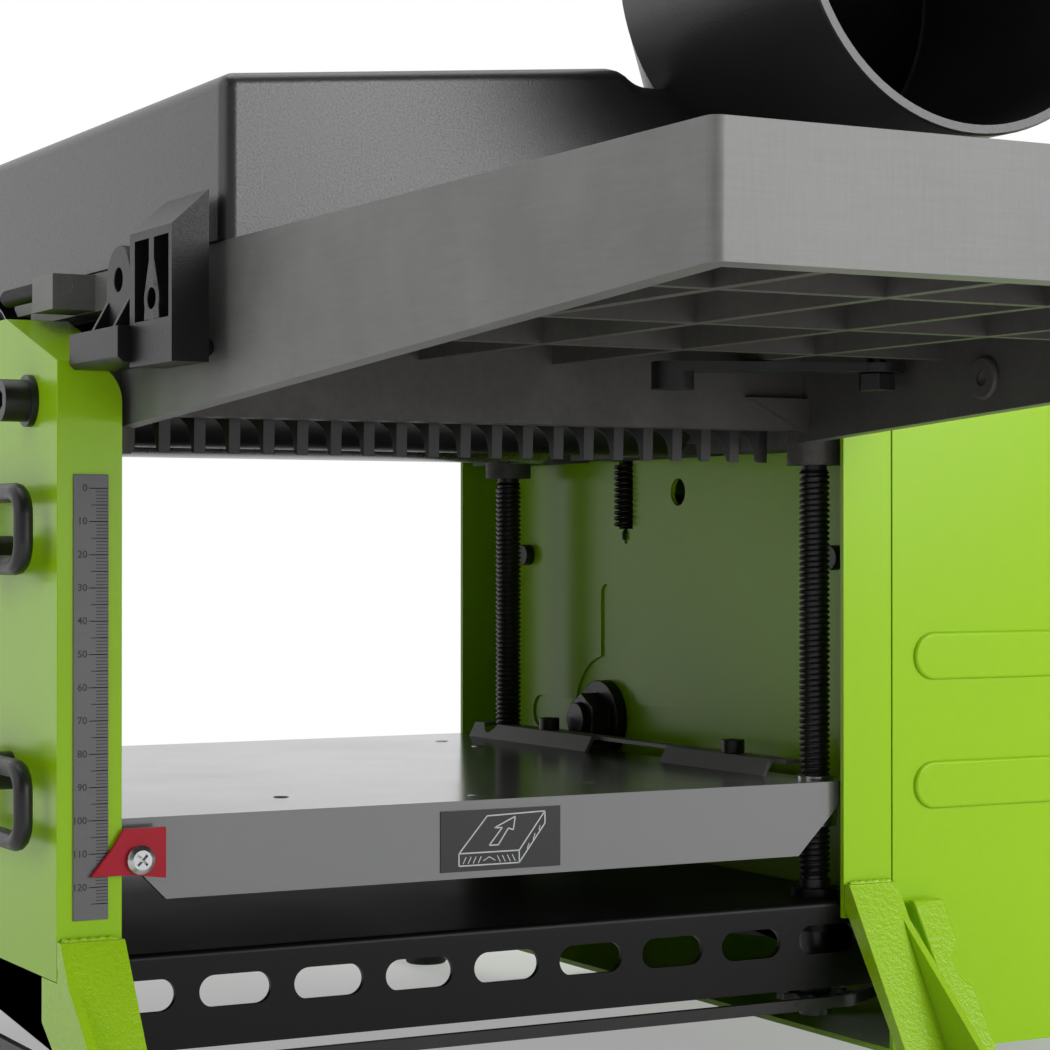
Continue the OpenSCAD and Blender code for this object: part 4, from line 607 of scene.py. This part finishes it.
# Legs, with weld beads under the frames and a notched brace beside the right front leg
legEdge = 0.9
weld = {"from": 135, "to": 153, "front": 147.6, "level": 75.6, "radius": 1.1}
brace = {"left": 159.4, "right": 172.6, "outline": [(-147.6, 69), (-151.6, 69), (-181.9, 20), (-177.4, 20)],
    "notch": (174.5, 47.5), "notchRadius": 7, "notchFrom": -190, "notchTo": -140}
legs = cleanCopy("legs", "legs")
bevelEdges(legs, legEdge * mm, 3, 40)
beads = []
for side in (-1, 1):
    for front in (-1, 1):
        ripple = [(side * x, front * (weld["front"] + 0.25 * (i % 2)), weld["level"] + 0.3 * (i % 3))
            for i, x in enumerate(range(weld["from"], weld["to"]))]
        beads.append(newTube(ripple, weld["radius"]))
bar = newPrism(brace["outline"], "X", brace["left"], brace["right"])
notchX, notchZ = brace["notch"]
cutWith(bar, newRod((notchX, brace["notchFrom"], notchZ), (notchX, brace["notchTo"], notchZ),
    brace["notchRadius"]))
bevelEdges(bar, legEdge * mm, 3, 30)
finishNode(joinAll([legs] + beads + [bar], "legs"), "legs")
print("housing and legs made")

# Tray, and the thicknesser table with its flat rivets
tray = {"top": 69.9, "skirt": 142, "bend": 2.0, "edge": 0.35}
piece = cleanCopy("base_tray", "tray")
bevelWhere(piece, lambda a, b: near(abs(a.y), abs(b.y)) and min(a.z, b.z) > tray["top"] * mm
    and min(abs(a.y), abs(b.y)) > tray["skirt"] * mm, tray["bend"] * mm)
bevelEdges(piece, tray["edge"] * mm, 2, 50)
finishNode(piece, "base_tray")
bed = {"top": 111.5, "front": -142.0, "bend": 2.6, "bendReach": 3.2, "edge": 0.4,
    "rivets": [(-61, -101), (-3, -129), (55, -102), (97.5, 95), (97.7, 62)],
    "rivetShape": [(0, 0.35), (2.2, 0.3), (2.9, 0.0), (2.9, -0.6), (0, -0.6)]}
piece = cleanCopy("thicknesser_table", "bed")
bevelWhere(piece, lambda a, b: near(a.z, bed["top"] * mm) and near(b.z, bed["top"] * mm)
    and min(a.y, b.y) < (bed["front"] + bed["bendReach"]) * mm, bed["bend"] * mm, 5)
bevelEdges(piece, bed["edge"] * mm, 2, 50)
rivets = [newLathe(bed["rivetShape"], (x, y, bed["top"]), "Z", 24) for x, y in bed["rivets"]]
finishNode(joinAll([piece] + rivets, "bed"), "thicknesser_table")

# Feed direction label: a board with an arrow, drawn in raised ink
label = {"left": -22.9, "right": 21.6, "low": 88.5, "high": 108.4, "front": -142.0, "thick": 0.35,
    "cornerPixel": (440, 808), "pixelSize": (0.371, 0.311), "inkThick": 0.08, "inkWide": 0.42,
    "inkFine": 0.28}
plate = newBlock((label["left"], label["front"] - label["thick"], label["low"]),
    (label["right"], label["front"] + 0.2, label["high"]), 0.1)
finishNode(plate, "thicknesser_table", "Label", finish=labelBlack, replace=False)


def onLabel(pixel):
    # a place on the label, from its pixel in the photograph
    return (label["left"] + (pixel[0] - label["cornerPixel"][0]) * label["pixelSize"][0],
        label["high"] - (pixel[1] - label["cornerPixel"][1]) * label["pixelSize"][1])


def inkLine(a, b, wide):
    (x0, z0), (x1, z1) = onLabel(a), onLabel(b)
    run, rise = x1 - x0, z1 - z0
    length = math.hypot(run, rise)
    u, v = -rise / length * wide / 2, run / length * wide / 2
    front = label["front"] - label["thick"]
    return newPrism([(x0 + u, z0 + v), (x0 - u, z0 - v), (x1 - u, z1 - v), (x1 + u, z1 + v)], "Y",
        front - label["inkThick"], front + 0.1)


def inkStrokes(strokes, wide):
    return [inkLine(a, b, wide) for stroke in strokes for a, b in zip(stroke, stroke[1:])]


boardPixels = [[(458, 853), (486, 815), (544, 813), (518, 853), (458, 853), (458, 866), (518, 866),
    (518, 853)], [(518, 866), (544, 826), (544, 813)]]
arrowPixels = [(488, 846), (501, 828), (493, 828), (514, 817), (512, 831), (507, 829), (497, 846), (488, 846)]
grainPixels = [[(462 + 5 * i, 864), (465 + 5 * i, 857)] for i in range(4)]
grainPixels += [[(514 - 5 * i, 864), (511 - 5 * i, 857)] for i in range(4)]
grainPixels += [[(482, 862), (488, 858), (494, 862)]]
grainPixels += [[(528, 846), (526, 852)], [(534, 836), (532, 843)], [(539, 828), (538, 833)]]
ink = inkStrokes(boardPixels + [arrowPixels], label["inkWide"]) + inkStrokes(grainPixels, label["inkFine"])
finishNode(joinAll(ink, "ink"), "thicknesser_table", "LabelInk", finish=labelWhite,
    replace=False)
print("tray, bed and label made")

# Scale plate with its millimetre ticks and numbers
scale = {"left": -148.5, "right": -137.5, "front": -147.1, "back": -146.5, "low": 82, "high": 216,
    "zero": 211.8, "edge": 0.12, "tickEnd": -137.7, "tickHalf": 0.13, "raised": 0.05, "last": 120}
ticks = [(3.7, 1, 126), (5.3, 5, 26), (6.0, 10, 13)]  # length, step and count
numbers = {"gap": 6.5, "drop": 0.85, "size": 3.1, "raised": 0.03, "sunk": 0.02}
finishNode(newBlock((scale["left"], scale["front"], scale["low"]),
    (scale["right"], scale["back"], scale["high"]), scale["edge"]), "scale_plate")
marks = []
for length, step, count in ticks:
    tick = newBlock(
        (scale["tickEnd"] - length, scale["front"] - scale["raised"], scale["zero"] - scale["tickHalf"]),
        (scale["tickEnd"], scale["front"] + scale["raised"], scale["zero"] + scale["tickHalf"]))
    row = tick.modifiers.new("row", "ARRAY")
    row.count = count
    row.use_relative_offset = False
    row.use_constant_offset = True
    row.constant_offset_displace = (0, 0, -step * mm)
    applyAll(tick)
    marks.append(tick)
for value in range(0, scale["last"] + 1, 10):
    bpy.ops.object.select_all(action="DESELECT")
    place = (scale["tickEnd"] - numbers["gap"], scale["front"] - numbers["sunk"],
        scale["zero"] - value - numbers["drop"])
    bpy.ops.object.text_add(location=[v * mm for v in place], rotation=(math.radians(90), 0, 0))
    number = bpy.context.object
    number.data.body = str(value)
    number.data.align_x = "RIGHT"
    number.data.size = numbers["size"] * mm
    number.data.extrude = number.data.offset = numbers["raised"] * mm
    number.data.resolution_u = 3
    bpy.ops.object.convert(target="MESH")
    number = bpy.context.object
    settle(number)
    marks.append(number)
finishNode(joinAll(marks, "marks"), "scale_plate", "Marks", finish=inkDark, replace=False)
print("scale drawn")

# Lift spindles: helical thread between the plain ends of the turned CAD form
thread = {"low": 76, "high": 220, "radius": 5.45, "depth": 0.95, "pitch": 2}
spindles = {"front_left_spindle": (-133.5, -128), "front_right_spindle": (133.5, -128),
    "rear_left_spindle": (-133.5, 102.5), "rear_right_spindle": (133.5, 102.5)}
for name, (x, y) in spindles.items():
    foot, head = cleanCopy(name, "foot"), cleanCopy(name, "head")
    bisectAt(foot, (x, y, thread["low"]), (0, 0, -1))
    bisectAt(head, (x, y, thread["high"]), (0, 0, 1))
    turns = newThread((x, y, thread["low"]), "Z", thread["high"] - thread["low"], thread["radius"],
        thread["depth"], thread["pitch"])
    finishNode(joinAll([foot, head, turns], name), name)

# Fence stud: a fine thread in front of its plain seat
stud = {"x": -140, "z": 276, "seat": -104, "start": -93.7, "end": -56, "radius": 2.92, "depth": 0.45,
    "pitch": 1, "seatRadius": 2.44}
turns = newThread((stud["x"], stud["start"], stud["z"]), "Y", stud["end"] - stud["start"] - 0.6,
    stud["radius"], stud["depth"], stud["pitch"])
seat = newRod((stud["x"], stud["seat"], stud["z"]), (stud["x"], stud["start"] + 0.2, stud["z"]),
    stud["seatRadius"], 32)
finishNode(joinAll([turns, seat], "stud"), "fence_stud")
print("threads cut")

# Tension spring: close coils with a hooked end each way
spring = {"x": 150.5, "y": 33.5, "low": 202, "high": 227.8, "radius": 3.4, "curls": 11, "wire": 0.72,
    "steps": 20}
coil = []
for i in range(spring["curls"] * spring["steps"] + 1):
    a = 2 * math.pi * i / spring["steps"]
    rise = (spring["high"] - spring["low"]) * i / spring["steps"] / spring["curls"]
    coil.append((spring["x"] + spring["radius"] * math.cos(a), spring["y"] + spring["radius"] * math.sin(a),
        spring["low"] + rise))
lowEnd = [(spring["x"] + aside, spring["y"], z) for aside, z in ((0, 196.5), (0, 199.5), (1.5, 201))]
topEnd = [(spring["x"] + aside, spring["y"], z) for aside, z in ((1.5, 229), (0, 230.5), (0, 234))]
finishNode(newTube(lowEnd + coil + topEnd, spring["wire"], sides=4), "roller_springs")
print("spring wound")

# Wire hooks with rounded corners, each on its sleeve and screw
hook = {"x": -161.5, "y": -102, "reach": 37, "corner": 7, "wire": 3.0, "boltFrom": -154.5, "boltTo": -148.5,
    "rows": [(188.6, 210.6, 191.6), (105.2, 127.2, 124.2)]}
sleeve = [(0, -153.5), (6, -153.5), (6, -164), (8.6, -164.2), (9, -164.8), (9, -166), (8.4, -166.5),
    (5.5, -166.6), (5.5, -169.6), (4.9, -170.4), (2.9, -170.5), (2.9, -167.5), (0, -167.5)]
pieces = []
for low, high, boltZ in hook["rows"]:
    middle, half = (low + high) / 2, (high - low) / 2
    loop = []
    for sideY, sideZ, turn in ((1, 1, 0), (-1, 1, 90), (-1, -1, 180), (1, -1, 270)):
        for k in range(7):
            a = math.radians(turn + 15 * k)
            y = hook["y"] + sideY * (hook["reach"] - hook["corner"]) + hook["corner"] * math.cos(a)
            z = middle + sideZ * (half - hook["corner"]) + hook["corner"] * math.sin(a)
            loop.append((hook["x"], y, z))
    pieces.append(newTube(loop, hook["wire"], True, 4))
    pieces.append(newLathe(sleeve, (0, hook["y"], boltZ), "X"))
    pieces.append(newRod((hook["boltFrom"], hook["y"], boltZ), (hook["boltTo"], hook["y"], boltZ), 3, 24))
finishNode(joinAll(pieces, "hooks"), "cord_hooks")
print("hooks bent")

# Chip hood: moulded box with rounded edges, and a throat that gathers into the outlet
hood = {"left": -131, "right": 131, "front": -222, "back": 92, "low": 280.2, "leftRoof": 327,
    "ridge": (-2, 339.2), "roof": 334.2, "fallFrom": -44, "backRoof": 306, "wall": 3, "edge": 5,
    "edgeFrom": 290,
    "hollows": [((-128, -219, 270), (128, 89, 301)), ((-128, -219, 300), (128, -44, 323)),
        ((64, -216, 322), (128, -156, 345))]}
port = {"x": 61, "z": 371, "radius": 60, "seat": 59, "bore": 57, "mouth": -312, "stop": -228, "back": -214,
    "cutFrom": -250, "cutTo": -200, "steps": 96}
throat = {"x": 96, "y": -150, "z": 316, "halfWide": 35, "halfHigh": 12, "square": 0.4, "steps": 48, "cuts": 3}
outline = [(hood["left"], hood["low"]), (hood["left"], hood["leftRoof"]), hood["ridge"], (5, hood["roof"]),
    (hood["right"], hood["roof"]), (hood["right"], hood["low"])]
shell = newPrism(outline, "Y", hood["front"], hood["back"])
fall = (hood["backRoof"] - hood["ridge"][1]) / (hood["back"] - hood["fallFrom"])
bisectAt(shell, (0, hood["back"], hood["backRoof"]), (0, fall, -1))
cleanMesh(shell)
bevelWhere(shell, lambda a, b: max(a.z, b.z) > hood["edgeFrom"] * mm, hood["edge"] * mm, 6)
for low, high in hood["hollows"]:
    cutWith(shell, newBlock(low, high))
cutWith(shell, newRod((port["x"], port["cutFrom"], port["z"]), (port["x"], port["cutTo"], port["z"]),
    port["bore"], port["steps"]))


def squared(value):
    # pushes a circle's sine or cosine out towards a rounded box
    return math.copysign(abs(value) ** throat["square"], value)


turns = [2 * math.pi * i / throat["steps"] for i in range(throat["steps"])]
mouthRing = [(port["x"] + port["seat"] * math.cos(a), port["back"], port["z"] + port["seat"] * math.sin(a))
    for a in turns]
backRing = [(throat["x"] + throat["halfWide"] * squared(math.cos(a)), throat["y"],
    throat["z"] + throat["halfHigh"] * squared(math.sin(a))) for a in turns]
funnel = joinAll([shapedRing(mouthRing, False), shapedRing(backRing, False)], "funnel")
onlySelect(funnel)
bpy.ops.object.mode_set(mode="EDIT")
bpy.ops.mesh.select_all(action="SELECT")
bpy.ops.mesh.bridge_edge_loops(number_cuts=throat["cuts"], interpolation="LINEAR")
bpy.ops.mesh.select_all(action="SELECT")
bpy.ops.mesh.normals_make_consistent(inside=False)
bpy.ops.object.mode_set(mode="OBJECT")
wall = funnel.modifiers.new("wall", "SOLIDIFY")
wall.thickness = hood["wall"] * mm
applyAll(funnel)
pipeShape = [(port["bore"], port["mouth"]), (port["radius"] - 0.6, port["mouth"]),
    (port["radius"], port["mouth"] + 0.8), (port["radius"], port["stop"] - 0.6), (port["seat"], port["stop"]),
    (port["seat"], port["back"]), (port["bore"], port["back"])]
pipe = newLathe(pipeShape, (port["x"], 0, port["z"]), "Y", port["steps"])
finishNode(joinAll([shell, funnel, pipe], "hood"), "chip_hood", angle=40)
print("hood moulded")

# Hood clips: a slanted head with two channels and a keyhole rib, an arm, and an ear with two gussets
clip = {"inner": 136, "outer": 147, "low": 245.5, "top": 293.5, "front": -224, "back": -191, "slant": 10,
    "channelFloor": 258, "channels": [(-221.6, -210.2), (-206.4, -195)], "armOuter": 151, "armLow": 247,
    "armTop": 257.5, "armBack": -150, "softEdge": 0.35}
key = {"y": -208.2, "z": 264, "bore": 3.1, "boreFrom": 140, "boreTo": 150, "radius": 6, "neckTop": 275,
    "neckFront": 146.98}
eye = {"y": -176, "z": 272, "bore": 3.5, "boreFrom": 130, "boreTo": 150, "radius": 10, "foot": 256,
    "thick": 6, "gusset": 2.2, "gussetTop": 268}
pin = {"x": 133.15, "z": 250.4, "radius": 2.85, "front": -214, "back": -156}
plateFace = clip["inner"] + 3
headShape = [(clip["inner"], clip["low"]), (clip["outer"], clip["low"]),
    (clip["outer"], clip["top"] - clip["slant"]), (clip["inner"], clip["top"])]
head = newPrism(headShape, "Y", clip["front"], clip["back"])
channel = [(plateFace, clip["channelFloor"]), (clip["outer"] + 1, clip["channelFloor"]),
    (clip["outer"] + 1, clip["top"] - 13.4), (plateFace, clip["top"] - 5.2)]
for low, high in clip["channels"]:
    cutWith(head, newPrism(channel, "Y", low, high))
cutWith(head, newRod((plateFace, key["y"], key["z"]), (key["boreTo"], key["y"], key["z"]), key["bore"], 40))
keyRing = newRod((plateFace, key["y"], key["z"]), (key["neckFront"], key["y"], key["z"]), key["radius"])
neckShape = [(key["y"] - 2.2, key["neckTop"]), (key["y"] + 2.2, key["neckTop"]), (key["y"] + 5, 267.5),
    (key["y"] + 6, clip["channelFloor"]), (key["y"] - 6, clip["channelFloor"]), (key["y"] - 5, 267.5)]
keyNeck = newPrism(neckShape, "X", plateFace, key["neckFront"])
for piece in (keyRing, keyNeck):
    cutWith(piece, newRod((key["boreFrom"], key["y"], key["z"]), (key["boreTo"], key["y"], key["z"]),
        key["bore"], 40))
armShape = [(clip["inner"], clip["armLow"]), (clip["armOuter"] - 1.5, clip["armLow"]),
    (clip["armOuter"], clip["armLow"] + 1.5), (clip["armOuter"], clip["armTop"]),
    (clip["inner"], clip["armTop"])]
arm = newPrism(armShape, "Y", clip["back"] - 1, clip["armBack"])
arc = [(eye["y"] + eye["radius"] * math.cos(a), eye["z"] + eye["radius"] * math.sin(a))
    for a in (math.radians(6 * i) for i in range(31))]
ear = newPrism(arc + [(eye["y"] - eye["radius"], eye["foot"]), (eye["y"] + eye["radius"], eye["foot"])], "X",
    plateFace, plateFace + eye["thick"])
cutWith(ear, newRod((eye["boreFrom"], eye["y"], eye["z"]), (eye["boreTo"], eye["y"], eye["z"]),
    eye["bore"], 40))
clipParts = [head, keyRing, keyNeck, arm, ear]
gusset = [(clip["inner"] + 8, eye["foot"]), (clip["armOuter"] - 0.4, eye["foot"]),
    (clip["inner"] + 8, eye["gussetTop"])]
for y in (eye["y"] - eye["radius"], eye["y"] + eye["radius"] - eye["gusset"]):
    clipParts.append(newPrism(gusset, "Y", y, y + eye["gusset"]))
clipParts.append(newRod((pin["x"], pin["front"], pin["z"]), (pin["x"], pin["back"], pin["z"]),
    pin["radius"], 40))
clipParts.append(newBlock((pin["x"], pin["front"], pin["z"] - 2),
    (clip["inner"] + 0.4, clip["back"], pin["z"] + 2)))
for piece in clipParts:
    bevelEdges(piece, clip["softEdge"] * mm, 2, 35)
rightClip = joinAll(clipParts, "clip")

# The left clip is a mirrored copy of the right one
onlySelect(rightClip)
bpy.ops.object.duplicate()
leftClip = bpy.context.object
bpy.ops.object.mode_set(mode="EDIT")
bpy.ops.mesh.select_all(action="SELECT")
bpy.ops.transform.resize(value=(-1, 1, 1), center_override=(0, 0, 0))
bpy.ops.mesh.normals_make_consistent(inside=False)
bpy.ops.object.mode_set(mode="OBJECT")
finishNode(rightClip, "right_latch")
finishNode(leftClip, "left_latch")
print("clips made")

# The others keep their CAD form, with their edges eased as on the real pieces
eased = {"head_casting": 0.8, "outfeed_table": 1.3, "infeed_table": 1.3, "width_guards": 0.3,
    "crank_arm": 0.8, "switch_box": 1.2, "motor_bracket": 0.6, "table_lever": 0.5, "height_pointer": 0.25,
    "kickback_fingers": 0.35, "boss_nut": 0.5, "side_bolts": 0.5, "depth_knob": 0.6, "crank_grip": 0.3,
    "motor_can": 1.0, "cable_gland": 0.4, "rubber_feet": 0.5, "guard_screws": 0.3, "start_button": 0.8,
    "stop_button": 0.8, "reset_button": 0.5, "cutterblock": 0.3, "guide_studs": 0.5, "infeed_roller": 0.3,
    "outfeed_roller": 0.3, "lever_bracket": 0.4, "lift_nuts": 0.25, "pointer_screw": 0.12,
    "motor_pulley": 0.4, "cutter_pulley": 0.3, "feed_gear_1": 0.2, "feed_gear_2": 0.2, "feed_gear_3": 0.2,
    "roller_bushes": 0.3, "crank_shaft": 0.3}
apronPad = {"place": (0, -237, 248), "ring": [(7, 124.1), (7, 123), (6.2, 122.2), (2.6, 122.2), (2.6, 124.1)],
    "screw": [(0, 123.4), (1.2, 123.2), (2.4, 122.9), (2.4, 124.1), (0, 124.1)]}
studPlug = {"front": -113.9, "back": -104.3, "radius": 2.6}


def castExtras():
    # filled end of the stud's hole, and a round pad with its screw inside the right apron
    plug = newRod((stud["x"], studPlug["front"], stud["z"]), (stud["x"], studPlug["back"], stud["z"]),
        studPlug["radius"], 24)
    ring = newLathe(apronPad["ring"], apronPad["place"], "X", 40)
    return [plug, ring, newLathe(apronPad["screw"], apronPad["place"], "X", 24)]


for name, width in eased.items():
    piece = cleanCopy(name, name + "_eased")
    bevelEdges(piece, width * mm, 3)
    if name == "outfeed_table":
        piece = joinAll([piece] + castExtras(), name)
    finishNode(piece, name)
print("other pieces eased")

# Floor, pale backdrop and lamps
floor = {"size": 40, "nearRadius": 0.35, "farRadius": 1.2, "nearGlow": 0.35}
studio = {"darkFrom": -0.25, "paleFrom": 0.45, "dark": 0.03, "fill": 0.35}
bpy.ops.object.select_all(action="DESELECT")
bpy.ops.mesh.primitive_plane_add(size=floor["size"], location=(0, 0, 0))
ground = bpy.context.object
ground.name = "floor"
paper = bpy.data.materials.new("paper")
paper.use_nodes = True
tree = paper.node_tree
shader = tree.nodes["Principled BSDF"]
shader.inputs["Base Color"].default_value = (0.9, 0.9, 0.9, 1)
shader.inputs["Roughness"].default_value = 0.9
shader.inputs["Specular IOR Level"].default_value = 0.0
glow = tree.nodes.new("ShaderNodeEmission")
glow.inputs["Color"].default_value = (1, 1, 1, 1)
rays = tree.nodes.new("ShaderNodeLightPath")
far = tree.nodes.new("ShaderNodeTexCoord")
distance = tree.nodes.new("ShaderNodeVectorMath")
distance.operation = "LENGTH"
tree.links.new(far.outputs["Object"], distance.inputs[0])
fade = mapRange(tree, distance.outputs["Value"], floor["nearRadius"], floor["farRadius"], floor["nearGlow"])
seen = mathNode(tree, "MAXIMUM", rays.outputs["Is Camera Ray"], rays.outputs["Is Glossy Ray"])
blend = tree.nodes.new("ShaderNodeMixShader")
tree.links.new(mathNode(tree, "MULTIPLY", fade, seen), blend.inputs[0])
tree.links.new(shader.outputs[0], blend.inputs[1])
tree.links.new(glow.outputs[0], blend.inputs[2])
tree.links.new(blend.outputs[0], tree.nodes["Material Output"].inputs["Surface"])
ground.data.materials.append(paper)

world = bpy.data.worlds.new("studio")
bpy.context.scene.world = world
world.use_nodes = True
tree = world.node_tree
backdrop = tree.nodes["Background"]
backdrop.inputs["Color"].default_value = (1, 1, 1, 1)
rays = tree.nodes.new("ShaderNodeLightPath")
around = tree.nodes.new("ShaderNodeTexCoord")
parts = tree.nodes.new("ShaderNodeSeparateXYZ")
tree.links.new(around.outputs["Generated"], parts.inputs[0])
# the studio is pale behind the object and dark behind the camera
pale = mapRange(tree, parts.outputs["Y"], studio["darkFrom"], studio["paleFrom"], studio["dark"])
seen = mathNode(tree, "MAXIMUM", rays.outputs["Is Camera Ray"], rays.outputs["Is Transmission Ray"])
mirrored = mathNode(tree, "MULTIPLY", rays.outputs["Is Glossy Ray"], pale)
unseen = mathNode(tree, "SUBTRACT", 1.0, mathNode(tree, "MAXIMUM", seen, rays.outputs["Is Glossy Ray"]))
filled = mathNode(tree, "MULTIPLY", unseen, studio["fill"])
strength = mathNode(tree, "ADD", mathNode(tree, "MAXIMUM", seen, mirrored), filled)
tree.links.new(strength, backdrop.inputs["Strength"])

lamps = {"rightSoftbox": {"place": (0.88, -1.8, 0.8), "size": 1.2, "power": 24},
    "leftSoftbox": {"place": (-1.7, -0.4, 0.9), "size": 1.3, "power": 5},
    "topSoftbox": {"place": (0.1, 0.1, 2.0), "size": 1.5, "power": 12}}
for name, lamp in lamps.items():
    bpy.ops.object.select_all(action="DESELECT")
    bpy.ops.object.light_add(type="AREA", location=lamp["place"])
    light = bpy.context.object
    light.name = name
    light.data.shape = "SQUARE"
    light.data.size = lamp["size"]
    light.data.energy = lamp["power"]
    light.rotation_euler = (Vector((0, 0, 0.2)) - Vector(lamp["place"])).to_track_quat("-Z", "Y").to_euler()
print("stage lit")
